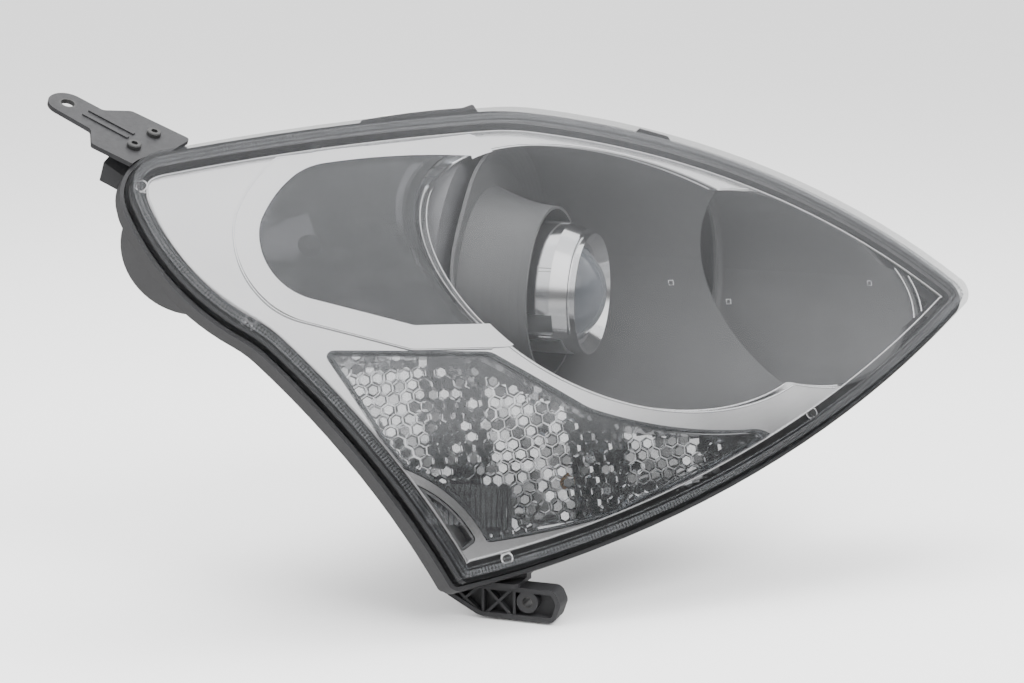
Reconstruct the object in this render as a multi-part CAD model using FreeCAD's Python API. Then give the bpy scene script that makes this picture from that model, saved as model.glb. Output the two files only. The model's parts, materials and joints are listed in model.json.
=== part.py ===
"""Right-hand car headlight assembly, in millimetres.

Car axes: -Y is the way the light shines, +X is towards the middle of the car, +Z is up.
The origin is the centre of the lower bracket's bolt hole.
"Crown axes" are the car axes moved to the crown of the lens.
"Lens axes" lie on the lens: u runs inboard and forward, v up the lens, w out of it.
"Depth" is a distance in from the outer face of the lens.
"""
import FreeCAD, Part
import math
import os

Vec = FreeCAD.Vector

# ---------------------------------------------------------------- the lens and its outline
CROWN = (17.0, 1.0, 176.0)        # crown of the lens, from the lower bolt
SWEEP = 1.20                      # how far the lens falls back per mm outboard
RAKE = 0.67                       # how far the lens falls back per mm of height
LENS_BOW_RADIUS = 3000.0          # curvature along the lens
LENS_ROLL_RADIUS = 480.0          # curvature up the lens
OUTBOARD_END = -246.0             # u of the outboard top corner
INBOARD_END = 324.0               # u of the inboard tip
TOP_HEIGHT = 147.0                # v of the highest point
FOOT_HEIGHT = -156.0              # v of the bottom corner
LENS_WALL = 3.0
LENS_SKIRT_DEPTH = 28.0

# ---------------------------------------------------------------- housing
WALL = 2.5
SKIRT_GAP = 0.5                   # between the lens skirt and the channel walls
CHANNEL_TOP_DEPTH = 17.0
SEAL_THICKNESS = 2.5
WING_DEPTH = 66.0                 # back of the shallow part of the housing
WING_STEP_DEPTH = 48.0
WING_STEP_INSET = 18.0
LOBE_CENTRE = (-192.0, 82.0)
LOBE_RADIUS = 46.0
LOBE_DEPTH = 78.0

# ---------------------------------------------------------------- bezel
BEZEL_DEPTH = 14.0
BEZEL_WALL = 2.5
BEZEL_INSET = 12.5
BEZEL_SIDE_DEPTH = 30.0
RIM_DEPTH = 3.5                   # rolled rims round the openings

# ---------------------------------------------------------------- low beam
LOW_X, LOW_Z = 72.0, 5.0          # projector axis, from the crown
LOW_BOWL_Z = 17.0
LOW_BOWL_RADIUS = 83.2
LOW_BOWL_FLOOR = 58.0
LOW_BUCKET_RADIUS = 93.0
LOW_BUCKET_BACK = 112.0
COLLAR_RADIUS = 54.0
COLLAR_FRONT = 15.0
RING_FRONT = -7.0                 # front plane of the projector
SHROUD_RADIUS = 46.0
PROJECTOR_LENS_RADIUS = 32.0
LOW_NECK_RADIUS = 45.0
LOW_NECK_LENGTH = 48.0

# ---------------------------------------------------------------- high beam
HIGH_BOWL_X, HIGH_BOWL_Z = 140.0, 4.0
HIGH_BOWL_RADIUS = 63.2
HIGH_BOWL_BACK = -62.0
HIGH_X, HIGH_Z = 174.0, 4.0
HIGH_BUCKET_X, HIGH_BUCKET_RADIUS = 142.0, 70.0
HIGH_BUCKET_BACK = 88.0
HIGH_NECK_RADIUS = 34.0
HIGH_NECK_LENGTH = 47.0
HIGH_FOCAL_LENGTH = 28.8
HIGH_APEX = 4.0

BOWL_WALL = 2.0
PARTITION_TOP = -76.0             # front edge of the wall between the bowls
PARTITION_FOOT = -133.0

# ---------------------------------------------------------------- aim mechanism
PIVOT_Y, PIVOT_Z = 80.0, -54.0
PIVOT_X = (40.0, 104.0)
BALL_RADIUS = 5.0
BALL_GAP = 0.2
AIMER_X, AIMER_Z = 84.0, 78.0
CARRIER_FRONT = 68.0
CARRIER_THICKNESS = 4.0
PINION_TEETH = 8
NUT_TEETH = 16
PITCH_RADIUS = 6.0                # of the pinion
TOOTH_HEIGHT = 2.2
TOOTH_WIDTH = 1.3
SCREW_RADIUS = 3.0
RUNNING_GAP = 0.08                # radial, on turning and sliding fits
SERVICE_GAP = 0.3                 # radial, on twist-off caps

# ---------------------------------------------------------------- brackets
BOLT_HOLE_RADIUS = 3.3
BRACKET_WALL = 3.0
ARM_HOLE_RADIUS = 4.3
ARM_THICKNESS = 3.0
ARM_HOLE = (-60.0, 295.0, 129.0)  # from the crown
ARM_RISE = 24.0                   # degrees
ARM_ROLL = 14.4                   # degrees


# ================================================================ axes and simple solids
def unit(x, y, z):
    """A direction of length one."""
    direction = Vec(x, y, z)
    direction.normalize()
    return direction


W_AXIS = unit(-SWEEP, -1.0, RAKE)
U_AXIS = unit(1.0, -SWEEP, 0.0)
V_AXIS = W_AXIS.cross(U_AXIS)
LENS_AXES = FreeCAD.Placement(FreeCAD.Matrix(
    U_AXIS.x, V_AXIS.x, W_AXIS.x, 0,
    U_AXIS.y, V_AXIS.y, W_AXIS.y, 0,
    U_AXIS.z, V_AXIS.z, W_AXIS.z, 0,
    0, 0, 0, 1))


def on_car(shape):
    """Turn a shape drawn in lens axes into crown axes."""
    turned = shape.copy()
    turned.Placement = LENS_AXES.multiply(turned.Placement)
    return turned


def lens_point(u, v, depth):
    """A point in crown axes, given in lens axes at a depth behind the lens."""
    return LENS_AXES.multVec(Vec(u, v, lens_w(u, v, depth)))


def lens_w(u, v, depth):
    """Height w of the lens-shaped surface at one depth."""
    roll = math.sqrt((LENS_ROLL_RADIUS - depth) ** 2 - v * v)
    bow = LENS_BOW_RADIUS - LENS_ROLL_RADIUS + roll
    return math.sqrt(bow * bow - u * u) - LENS_BOW_RADIUS


def along_y(radius, front, back, x, z):
    """A round bar along Y."""
    return Part.makeCylinder(radius, back - front, Vec(x, front, z), Vec(0, 1, 0))


def tube_y(outer, inner, front, back, x, z):
    """A round tube along Y."""
    return along_y(outer, front, back, x, z).cut(along_y(inner, front - 1, back + 1, x, z))


def spun_y(profile, x, z):
    """A closed (radius, y) outline turned about an axis along Y."""
    points = [Vec(x + radius, y, z) for radius, y in profile]
    face = Part.Face(Part.makePolygon(points + [points[0]]))
    return face.revolve(Vec(x, 0, z), Vec(0, 1, 0), 360)


def block(x0, x1, y0, y1, z0, z1):
    """A box between two corners."""
    return Part.makeBox(x1 - x0, y1 - y0, z1 - z0, Vec(x0, y0, z0))


def fused(shapes):
    """One solid from shapes that touch or overlap."""
    whole = shapes[0]
    if len(shapes) > 1:
        whole = whole.multiFuse(shapes[1:])
    return whole.removeSplitter()


def ring_points(count, radius, start=0.0):
    """Points spaced evenly round a circle, as (across, up)."""
    step = 2 * math.pi / count
    first = math.radians(start)
    return [(radius * math.cos(first + i * step), radius * math.sin(first + i * step)) for i in range(count)]


# ================================================================ outlines on the lens
def bowed_edge(start, end, bow):
    """An arc from start to end whose middle stands out by bow, to the left of the way."""
    if abs(bow) < 1e-6:
        return Part.LineSegment(start, end).toShape()
    way = end - start
    side = Vec(-way.y, way.x, 0)
    side.normalize()
    middle = (start + end) * 0.5 + side * bow
    return Part.Arc(start, middle, end).toShape()


def outline(corners):
    """A closed face from (u, v, bow of the next side, corner radius), clockwise."""
    places = [Vec(u, v, 0) for u, v, bow, radius in corners]
    edges = []
    for index, corner in enumerate(corners):
        following = places[(index + 1) % len(places)]
        edges.append(bowed_edge(places[index], following, corner[2]))
    slab = Part.Face(Part.Wire(edges)).extrude(Vec(0, 0, 1))
    for place, corner in zip(places, corners):
        if corner[3] > 0:
            slab = slab.makeFillet(corner[3], [upright_edge(slab, place)])
    lowest = min(slab.Faces, key=lambda face: face.CenterOfMass.z)
    rounded = [plain_edge(edge) for edge in lowest.OuterWire.Edges]
    return Part.Face(Part.Wire(Part.__sortEdges__(rounded)))


def plain_edge(edge):
    """The same edge as a line or a true arc."""
    first, last = edge.FirstParameter, edge.LastParameter
    start, middle, end = [edge.valueAt(value) for value in (first, (first + last) / 2, last)]
    if edge.Curve.TypeId == "Part::GeomLine":
        return Part.makeLine(start, end)
    return Part.Arc(start, middle, end).toShape()


def upright_edge(slab, place):
    """The edge of a slab that stands on one corner."""
    for edge in slab.Edges:
        ends = [vertex.Point for vertex in edge.Vertexes]
        if len(ends) == 2 and abs(ends[0].z - ends[1].z) > 0.5:
            if math.hypot(ends[0].x - place.x, ends[0].y - place.y) < 0.01:
                return edge
    raise ValueError("no upright edge at the corner")


def grown(face, distance):
    """The same outline moved outwards, or inwards if negative."""
    if abs(distance) < 1e-6:
        return face
    return Part.Face(face.OuterWire.makeOffset2D(distance))


def prism(face, low=-330.0, high=60.0):
    """An outline drawn along w."""
    return face.translated(Vec(0, 0, low)).extrude(Vec(0, 0, high - low))


def band(face, outer, inner):
    """The prism between two offsets of an outline."""
    return prism(grown(face, outer)).cut(prism(grown(face, inner)))


SURFACE_SWING = 8.0               # degrees each way round the bow axis
SURFACE_REACH = math.radians(31.0)


def bowed_solid(edges):
    """A section in the v-w plane swung about the bow axis."""
    face = Part.Face(Part.Wire(edges))
    hub = Vec(0, 0, -LENS_BOW_RADIUS)
    face.rotate(hub, Vec(0, 1, 0), -SURFACE_SWING)
    return face.revolve(hub, Vec(0, 1, 0), 2 * SURFACE_SWING)


def roll_arc(depth):
    """The lens's section up v at one depth, with its two end points."""
    radius = LENS_ROLL_RADIUS - depth
    across = radius * math.sin(SURFACE_REACH)
    height = radius * math.cos(SURFACE_REACH) - LENS_ROLL_RADIUS
    low, high = Vec(0, -across, height), Vec(0, across, height)
    return Part.Arc(low, Vec(0, 0, -depth), high).toShape(), low, high


def skin(outer_depth, inner_depth):
    """Everything between two depths."""
    outer, outer_low, outer_high = roll_arc(outer_depth)
    inner, inner_low, inner_high = roll_arc(inner_depth)
    sides = [Part.makeLine(outer_high, inner_high), Part.makeLine(outer_low, inner_low)]
    return bowed_solid(Part.__sortEdges__([outer, inner] + sides))


def behind(depth):
    """Everything deeper than one depth, down to a flat far back."""
    arc, low, high = roll_arc(depth)
    far = -420.0
    corners = [Vec(0, high.y, far), Vec(0, low.y, far)]
    lines = [Part.makeLine(high, corners[0]), Part.makeLine(corners[0], corners[1]),
             Part.makeLine(corners[1], low)]
    return bowed_solid(Part.__sortEdges__([arc] + lines))


LENS_OUTLINE = outline([
    (-64.0, FOOT_HEIGHT, -5.0, 5.0),
    (-178.0, 3.0, 18.0, 70.0),
    (OUTBOARD_END, 124.0, 4.0, 27.0),
    (11.0, TOP_HEIGHT, 25.0, 150.0),
    (INBOARD_END, 2.0, 29.0, 11.0),
])


def inside_border(face):
    """The part of an outline that keeps clear of the lens's border."""
    kept = face.common(grown(LENS_OUTLINE, -WINDOW_INSET)).Faces[0]
    return Part.Face(Part.Wire(Part.__sortEdges__([plain_edge(edge) for edge in kept.OuterWire.Edges])))


WINDOW_INSET = 14.0
SIDE_LAMP_OUTLINE = inside_border(outline([
    (-20.0, 2.0, 0.0, 0.0),
    (-78.0, 5.0, 0.0, 0.0),
    (-150.0, 30.0, 8.0, 40.0),
    (-165.0, 78.0, 4.0, 30.0),
    (-128.0, 115.0, 3.0, 46.0),
    (-20.0, 116.0, 0.0, 0.0),
]))
TURN_OUTLINE = inside_border(outline([
    (-98.0, -81.0, 0.0, 3.0),
    (-138.0, -6.0, 0.0, 4.0),
    (-31.0, -15.0, 0.0, 14.0),
    (30.0, -55.0, -6.0, 40.0),
    (150.0, -77.0, 0.0, 20.0),
    (168.0, -88.0, 9.0, 3.0),
    (-43.0, -132.0, -7.0, 4.0),
]))
POCKET_OUTLINE = inside_border(outline([
    (-60.0, -136.0, 0.0, 3.0),
    (-97.0, -88.0, 6.0, 3.0),
    (-50.0, -130.0, 0.0, 3.0),
]))
TURN_DEPTH = 44.0
SIDE_LAMP_DEPTH = 50.0
POCKET_DEPTH = 26.0
INNER_LENS_WALL = 2.2
FIT_GAP = 0.4                     # between pieces clipped to each other


# ================================================================ lens, seal and housing
CHANNEL_OUTER = SKIRT_GAP + WALL
CHANNEL_HOLLOW = LENS_WALL + SKIRT_GAP
CHANNEL_INNER = CHANNEL_HOLLOW + WALL
CHANNEL_FLOOR = LENS_SKIRT_DEPTH + SEAL_THICKNESS
MOUTH_DEPTH = CHANNEL_FLOOR + WALL


def lens_cover():
    """Clear outer lens: a bowed skin with a skirt that stands in the housing's channel."""
    face = prism(LENS_OUTLINE).common(skin(0, LENS_WALL))
    skirt = band(LENS_OUTLINE, 0, -LENS_WALL).common(skin(LENS_WALL / 2, LENS_SKIRT_DEPTH))
    return on_car(fused([face, skirt]))


def lens_seal():
    """Bead of sealant under the edge of the lens skirt."""
    bead = band(LENS_OUTLINE, SKIRT_GAP, -CHANNEL_HOLLOW)
    return on_car(bead.common(skin(LENS_SKIRT_DEPTH, CHANNEL_FLOOR)))


def normal_bar(radius, place, depth, far_depth):
    """A bar square to the lens's mid plane, between two depths at one (u, v)."""
    u, v = place
    low = lens_w(u, v, far_depth)
    return Part.makeCylinder(radius, lens_w(u, v, depth) - low, Vec(u, v, low))


def normal_tube(outer, inner, place, depth, far_depth):
    """A tube square to the lens's mid plane."""
    return normal_bar(outer, place, depth, far_depth).cut(normal_bar(inner, place, depth - 1, far_depth + 1))


def wing(inset):
    """The shallow part of the housing behind the lens, in lens axes."""
    start = CHANNEL_FLOOR if inset == 0 else MOUTH_DEPTH
    rim = prism(grown(LENS_OUTLINE, -SKIRT_GAP - inset)).common(skin(start, WING_STEP_DEPTH - inset))
    core = prism(grown(LENS_OUTLINE, -WING_STEP_INSET - inset)).common(skin(start, WING_DEPTH - inset))
    lobe = Part.makeCylinder(LOBE_RADIUS - inset, 400, Vec(LOBE_CENTRE[0], LOBE_CENTRE[1], -330))
    return fused([rim, core, lobe.common(skin(start, LOBE_DEPTH - inset))])


def buckets(inset, reach):
    """The two deep wells along the light's way, with the round necks behind them."""
    wells = fused([
        along_y(LOW_BUCKET_RADIUS - inset, -140, LOW_BUCKET_BACK - inset, LOW_X, LOW_BOWL_Z),
        along_y(HIGH_BUCKET_RADIUS - inset, -230, HIGH_BUCKET_BACK - inset, HIGH_BUCKET_X, HIGH_BOWL_Z),
        along_y(LOW_NECK_RADIUS - inset, 0, LOW_BUCKET_BACK + LOW_NECK_LENGTH + reach, LOW_X, LOW_Z),
        along_y(HIGH_NECK_RADIUS - inset, 0, HIGH_BUCKET_BACK + HIGH_NECK_LENGTH + reach, HIGH_X, HIGH_Z),
    ])
    return wells.common(on_car(behind(CHANNEL_FLOOR - 3 * inset)))


TURN_SOCKET = (18.0, -96.0)       # (u, v) of the bulb sockets and fittings on the wing's back
SIDE_SOCKET = (-126.0, 70.0)
BREATHER = (-186.0, 96.0)
SOCKET_RADIUS = 14.0
SIDE_SOCKET_RADIUS = 9.0
SOCKET_NECK = 9.0
BREATHER_RADIUS = 5.0
CONNECTOR_X, CONNECTOR_Z = 14.0, -24.0
CONNECTOR_SIZE = (26.0, 14.0)
ARM_LUG = (-20.0, 24.0, -76.0, -44.0, 24.0)       # t from, t to, s from, s to, depth
ARM_SCREWS = ((-9.0, -56.0), (14.0, -56.0))
FOOT_LUG = (-31.0, 0.0, 4.0, 50.0, -164.0, -149.0)
FOOT_ROOM_BACK = 58.5
FOOT_SCREWS = ((-5.5, 18.0), (-5.5, 42.0))
INNER_LUG = (204.0, 240.0, 6.0, 46.0, 22.0, 30.0)
INNER_BOLT = (228.0, 26.0)
CAP_LUG_COUNT = 3
CAP_LUG_ANGLE = 14.0
CAP_TWIST = 30.0
CAP_LUG_HEIGHT = 1.8
CAP_LUG_LENGTH = 4.0
CAP_LUG_SETBACK = 6.0
EAR_RADIUS = 4.2
EAR_DEPTH = BEZEL_SIDE_DEPTH
EAR_INSET = 9.4
EAR_STEPS = 11
EAR_ROOM = 14.0                   # an ear keeps this far from the bowls' openings
EAR_SCREW_RADIUS = 1.6
LEDGE_WALL = 3.5


def arm_axes():
    """Axes on the upper arm: t across it, s back along it, m out of its top face, from its hole."""
    rise = math.radians(ARM_RISE)
    roll = math.radians(ARM_ROLL)
    back = Vec(0, math.cos(rise), math.sin(rise))
    level_up = Vec(0, -math.sin(rise), math.cos(rise))
    up = level_up * math.cos(roll) + Vec(-math.sin(roll), 0, 0)
    across = back.cross(up)
    x, y, z = ARM_HOLE
    return FreeCAD.Placement(FreeCAD.Matrix(
        across.x, back.x, up.x, x,
        across.y, back.y, up.y, y,
        across.z, back.z, up.z, z,
        0, 0, 0, 1))


def on_arm(shape):
    """Turn a shape drawn in arm axes into crown axes."""
    turned = shape.copy()
    turned.Placement = arm_axes().multiply(turned.Placement)
    return turned


def ring_sector(outer, inner, front, back, x, z, start, sweep):
    """Part of a tube along Y, from one angle round to another (0 is +X, 90 is +Z)."""
    section = Part.Face(Part.makePolygon([
        Vec(x + inner, front, z), Vec(x + outer, front, z), Vec(x + outer, back, z),
        Vec(x + inner, back, z), Vec(x + inner, front, z)]))
    section.rotate(Vec(x, 0, z), Vec(0, -1, 0), start)
    return section.revolve(Vec(x, 0, z), Vec(0, -1, 0), sweep)


def neck_lugs(radius, end, x, z, gap, extra_sweep):
    """Bayonet lugs round a neck, or with a gap and an extra sweep the grooves that they turn in."""
    front = end - CAP_LUG_SETBACK - CAP_LUG_LENGTH
    lugs = []
    for index in range(CAP_LUG_COUNT):
        start = index * 360.0 / CAP_LUG_COUNT - CAP_LUG_ANGLE / 2
        lugs.append(ring_sector(
            radius + CAP_LUG_HEIGHT + gap, radius - WALL / 2, front - gap, front + CAP_LUG_LENGTH + gap,
            x, z, start - gap - extra_sweep, CAP_LUG_ANGLE + 2 * gap + extra_sweep))
    return lugs


LOW_NECK_END = LOW_BUCKET_BACK + LOW_NECK_LENGTH
HIGH_NECK_END = HIGH_BUCKET_BACK + HIGH_NECK_LENGTH


def ear_places():
    """Where the bezel is screwed to the housing, as (u, v)."""
    line = grown(LENS_OUTLINE, -EAR_INSET).OuterWire
    places = []
    for point in line.discretize(Number=EAR_STEPS + 1)[:-1]:
        spot = lens_point(point.x, point.y, EAR_DEPTH)
        low_room = math.hypot(spot.x - LOW_X, spot.z - LOW_BOWL_Z) - LOW_BOWL_RADIUS
        high_room = math.hypot(spot.x - HIGH_BOWL_X, spot.z - HIGH_BOWL_Z) - HIGH_BOWL_RADIUS
        spot = Part.Vertex(point)
        lamps = min(spot.distToShape(face)[0] for face in (SIDE_LAMP_OUTLINE, TURN_OUTLINE, POCKET_OUTLINE))
        if min(low_room, high_room) > EAR_ROOM and lamps > EAR_RADIUS + 1:
            places.append((point.x, point.y))
    return places


def housing():
    """Black moulded housing: channel, wing, two wells, necks, posts, sockets and lugs."""
    channel = band(LENS_OUTLINE, CHANNEL_OUTER, -CHANNEL_INNER).common(skin(CHANNEL_TOP_DEPTH, MOUTH_DEPTH))
    back = WING_DEPTH + SOCKET_NECK
    sockets = [
        normal_bar(SOCKET_RADIUS + WALL, TURN_SOCKET, WING_DEPTH - WALL, back),
        normal_bar(SIDE_SOCKET_RADIUS + WALL, SIDE_SOCKET, WING_DEPTH - WALL, back),
        normal_bar(BREATHER_RADIUS, BREATHER, LOBE_DEPTH - WALL, LOBE_DEPTH + SOCKET_NECK),
    ]
    lugs = [on_arm(arm_lug()).common(on_car(behind(CHANNEL_FLOOR))), inner_lug()]
    solid = fused([on_car(fused([channel, wing(0)] + sockets + top_tabs())), buckets(0, 0)] + lugs)
    mouth = prism(grown(LENS_OUTLINE, -CHANNEL_INNER)).common(skin(0, MOUTH_DEPTH + 0.5))
    hollow = on_car(fused([mouth, wing(WALL)]))
    groove = on_car(band(LENS_OUTLINE, SKIRT_GAP, -CHANNEL_HOLLOW).common(skin(0, CHANNEL_FLOOR)))
    solid = solid.cut([hollow, buckets(WALL, WALL), groove])
    ledge = band(LENS_OUTLINE, -CHANNEL_HOLLOW - 0.5, -EAR_INSET - EAR_RADIUS)
    ledge = ledge.common(skin(EAR_DEPTH + FIT_GAP, EAR_DEPTH + FIT_GAP + LEDGE_WALL))
    ledge = ledge.cut([prism(grown(face, FIT_GAP)) for face in (SIDE_LAMP_OUTLINE, TURN_OUTLINE, POCKET_OUTLINE)])
    ledge = on_car(ledge).cut(low_dish_room())
    pads = [along_y(STUD_BOSS_RADIUS, LOW_BUCKET_BACK - 16, LOW_BUCKET_BACK - 1, x, PIVOT_Z) for x in PIVOT_X]
    lugs = neck_lugs(LOW_NECK_RADIUS, LOW_NECK_END, LOW_X, LOW_Z, 0, 0)
    lugs += neck_lugs(HIGH_NECK_RADIUS, HIGH_NECK_END, HIGH_X, HIGH_Z, 0, 0)
    solid = fused([solid, ledge, foot_lug()] + pads + lugs).cut(housing_holes())
    return max(solid.Solids, key=lambda piece: piece.Volume)


def housing_holes():
    """Everything drilled through the finished housing."""
    holes = [
        on_car(normal_bar(SOCKET_RADIUS, TURN_SOCKET, WING_DEPTH - 20, 100)),
        on_car(normal_bar(SIDE_SOCKET_RADIUS, SIDE_SOCKET, WING_DEPTH - 20, 100)),
        on_car(normal_bar(BREATHER_RADIUS - 1.5, BREATHER, LOBE_DEPTH - 6, 100)),
        connector_block(0.0, LOW_BUCKET_BACK - 6, LOW_BUCKET_BACK + 3),
        along_y(AIMER_JOURNAL, LOW_BUCKET_BACK - 6, LOW_BUCKET_BACK + 2, AIMER_X, AIMER_Z),
        inner_bolt_hole(),
        foot_room(),
    ]
    for x in PIVOT_X:
        holes.append(along_y(STUD_RADIUS, LOW_BUCKET_BACK - 18, LOW_BUCKET_BACK + 2, x, PIVOT_Z))
    for place in ear_places():
        holes.append(on_car(normal_bar(EAR_SCREW_RADIUS, place, EAR_DEPTH - 3, EAR_DEPTH + 9)))
    for x, y in FOOT_SCREWS:
        holes.append(Part.makeCylinder(FOOT_SCREW_RADIUS, 13, Vec(x, y, FOOT_LUG[4] - 1)))
    for across, along in ARM_SCREWS:
        holes.append(on_arm(Part.makeCylinder(FOOT_SCREW_RADIUS, 13, Vec(across, along, -12))))
    return holes


STUD_RADIUS = 3.0
STUD_BOSS_RADIUS = 6.0
AIMER_JOURNAL = 8.4
FOOT_SCREW_RADIUS = 2.4


def arm_lug():
    """Block on the housing's back that the upper arm is screwed to, in arm axes."""
    left, right, near, far, height = ARM_LUG
    return block(left, right, near, far, -height, 0)


def foot_lug():
    """Block under the housing that the lower bracket is screwed to."""
    x0, x1, y0, y1, z0, z1 = FOOT_LUG
    lug = block(x0, x1, y0, y1, z0, z1).common(on_car(behind(CHANNEL_FLOOR)))
    corner = block(x0 - 4, x1 + 4, y0 - 4, FOOT_ROOM_BACK + 4, z0 - 20, z1).common(on_car(wing(0)))
    return fused([lug, corner])


def foot_room():
    """Flat-topped pocket that the lower bracket stands in."""
    x0, x1, y0, y1, z0, z1 = FOOT_LUG
    return block(x0 - FIT_GAP, x1 + FIT_GAP, y0 - 40, FOOT_ROOM_BACK, z0 - 30, z0)


def inner_lug():
    """Flat ear at the inboard end of the housing."""
    x0, x1, y0, y1, z0, z1 = INNER_LUG
    ear = block(x0, x1, y0, y1, z0, z1)
    corners = [edge for edge in ear.Edges if abs(edge.Length - (z1 - z0)) < 0.01 and edge.CenterOfMass.x > x0 + 1]
    return ear.makeFillet(8.0, corners)


def inner_bolt_hole():
    """Upright bolt hole through the inboard ear."""
    return Part.makeCylinder(BOLT_HOLE_RADIUS, 20, Vec(INNER_BOLT[0], INNER_BOLT[1], INNER_LUG[4] - 5))


def connector_block(growth, front, back):
    """A rectangular plug of the connector's size along Y."""
    wide, tall = CONNECTOR_SIZE[0] / 2 + growth, CONNECTOR_SIZE[1] / 2 + growth
    return block(CONNECTOR_X - wide, CONNECTOR_X + wide, front, back, CONNECTOR_Z - tall, CONNECTOR_Z + tall)


def top_tabs():
    """Two small locating tabs that stand up from the top of the channel."""
    long_tab = outline([
        (-88.0, 136.0, 0.0, 0.0),
        (-84.0, 148.5, 1.0, 2.0),
        (-14.0, 154.5, 0.0, 2.0),
        (-6.0, 157.0, 0.0, 1.5),
        (-1.0, 142.0, 0.0, 0.0),
    ])
    short_tab = outline([
        (104.0, 124.0, 0.0, 0.0),
        (106.0, 134.5, 0.0, 1.5),
        (126.0, 127.5, 0.0, 1.5),
        (130.0, 112.0, 0.0, 0.0),
    ])
    inside = prism(grown(LENS_OUTLINE, CHANNEL_OUTER - 1))
    return [prism(tab).common(skin(21, 25)).cut(inside) for tab in (long_tab, short_tab)]


# ================================================================ bezel and bowls
def bezel_openings(growth):
    """The holes in the bezel, as one cutter in crown axes."""
    return fused([
        along_y(LOW_BOWL_RADIUS + growth, -260, 160, LOW_X, LOW_BOWL_Z),
        along_y(HIGH_BOWL_RADIUS + growth, -300, 60, HIGH_BOWL_X, HIGH_BOWL_Z),
    ])


def window(face, growth):
    """The prism of one of the lens-shaped windows in the bezel."""
    return prism(grown(face, growth))


def bezel():
    """Satin chrome mask: bowed face, side walls, rolled rims and screw ears."""
    edge = grown(LENS_OUTLINE, -BEZEL_INSET)
    face = prism(edge).common(skin(BEZEL_DEPTH, BEZEL_DEPTH + BEZEL_WALL))
    sides = prism(edge).cut(prism(grown(edge, -BEZEL_WALL)))
    sides = sides.common(skin(BEZEL_DEPTH + BEZEL_WALL / 2, BEZEL_SIDE_DEPTH))
    windows = [(SIDE_LAMP_OUTLINE, 9.0), (TURN_OUTLINE, 5.0), (POCKET_OUTLINE, 3.0)]
    rims = []
    for shape, depth in windows:
        rim = window(shape, BEZEL_WALL * 0.6).common(skin(BEZEL_DEPTH + BEZEL_WALL / 2, BEZEL_DEPTH + depth))
        rims.append(rim)
    step = window(SIDE_LAMP_OUTLINE, 15.0).common(prism(grown(edge, -3.0))).common(
        skin(BEZEL_DEPTH - 1.6, BEZEL_DEPTH + BEZEL_WALL / 2))
    mask = on_car(fused([face, sides, step] + rims))
    rolled = bezel_openings(BEZEL_WALL * 0.8).common(on_car(skin(BEZEL_DEPTH + 0.6, BEZEL_DEPTH + RIM_DEPTH)))
    mask = fused([mask, rolled.common(on_car(prism(grown(edge, -1.0))))])
    mask = mask.cut([on_car(window(shape, 0)) for shape, depth in windows] + [bezel_openings(0), behind_rims()])
    tray = prism(grown(edge, -BEZEL_WALL)).common(skin(0, BEZEL_SIDE_DEPTH + 10))
    clear_of_channel = prism(grown(LENS_OUTLINE, -CHANNEL_INNER - FIT_GAP))
    ears = []
    holes = []
    for place in ear_places():
        ear = normal_bar(EAR_RADIUS, place, EAR_DEPTH - BEZEL_WALL, EAR_DEPTH).cut([tray, behind(EAR_DEPTH)])
        ears.append(on_car(ear.common(clear_of_channel)))
        holes.append(on_car(normal_bar(EAR_SCREW_RADIUS + 0.2, place, EAR_DEPTH - 9, EAR_DEPTH + 9)))
    whole = fused([mask] + ears).cut(holes)
    return max(whole.Solids, key=lambda solid: solid.Volume)


def partition_cutter():
    """Everything in front of the front edge of the wall between the two bowls."""
    top = Vec(140, PARTITION_TOP, 68)
    foot = Vec(113, PARTITION_FOOT, -54)
    inner = Vec(156, PARTITION_TOP + 12, 10)
    across = (foot - top).cross(inner - top)
    across.normalize()
    if across.y > 0:
        across = across * -1
    slab = Part.makeBox(600, 600, 400, Vec(-300, -300, 0))
    slab.Placement = FreeCAD.Placement(top, FreeCAD.Rotation(Vec(0, 0, 1), across))
    return slab.common(along_y(HIGH_BOWL_RADIUS + 0.01, -400, 200, HIGH_BOWL_X, HIGH_BOWL_Z))


def cup(radius, back, corner, flare, x, z):
    """A solid dish along Y: its wall opens out a little towards the front."""
    front = -320.0
    steps = 8
    profile = [(0, back), (radius - corner, back)]
    for index in range(1, steps + 1):
        turn = math.pi / 2 * index / steps
        profile.append((radius - corner + corner * math.sin(turn), back - corner + corner * math.cos(turn)))
    profile += [(radius + flare, front), (0, front)]
    return spun_y(profile, x, z)


def collar_solid(growth):
    """The raised mouth round the projector: its radius falls from the bowl's floor to its front edge."""
    foot = LOW_BOWL_FLOOR + BOWL_WALL
    height = foot - COLLAR_FRONT
    steps = 8
    profile = [(0, foot + 1), (COLLAR_RADIUS + COLLAR_SPREAD + growth, foot + 1)]
    for index in range(steps + 1):
        share = index / steps
        spread = COLLAR_SPREAD * (1 - math.sin(share * math.pi / 2))
        profile.append((COLLAR_RADIUS + spread + growth, foot - height * share))
    profile.append((0, COLLAR_FRONT))
    return spun_y(profile, LOW_X, LOW_Z)


COLLAR_SPREAD = 12.0
COLLAR_DEPTH = 6.0                 # clear depth left between the lens and the collar's nose
BOWL_FLARE = 1.5
BOWL_FRONT_DEPTH = BEZEL_DEPTH + RIM_DEPTH + FIT_GAP
BORDER_DEPTH = 23.4                # a bowl may pass under the lens border behind this depth


def bowl_room():
    """Where a bowl may be: behind the bezel's rims, and well back under the lens border."""
    within = prism(grown(LENS_OUTLINE, -BEZEL_INSET - BEZEL_WALL - FIT_GAP)).common(behind(BOWL_FRONT_DEPTH))
    return on_car(fused([within, behind(BORDER_DEPTH)]))


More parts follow.
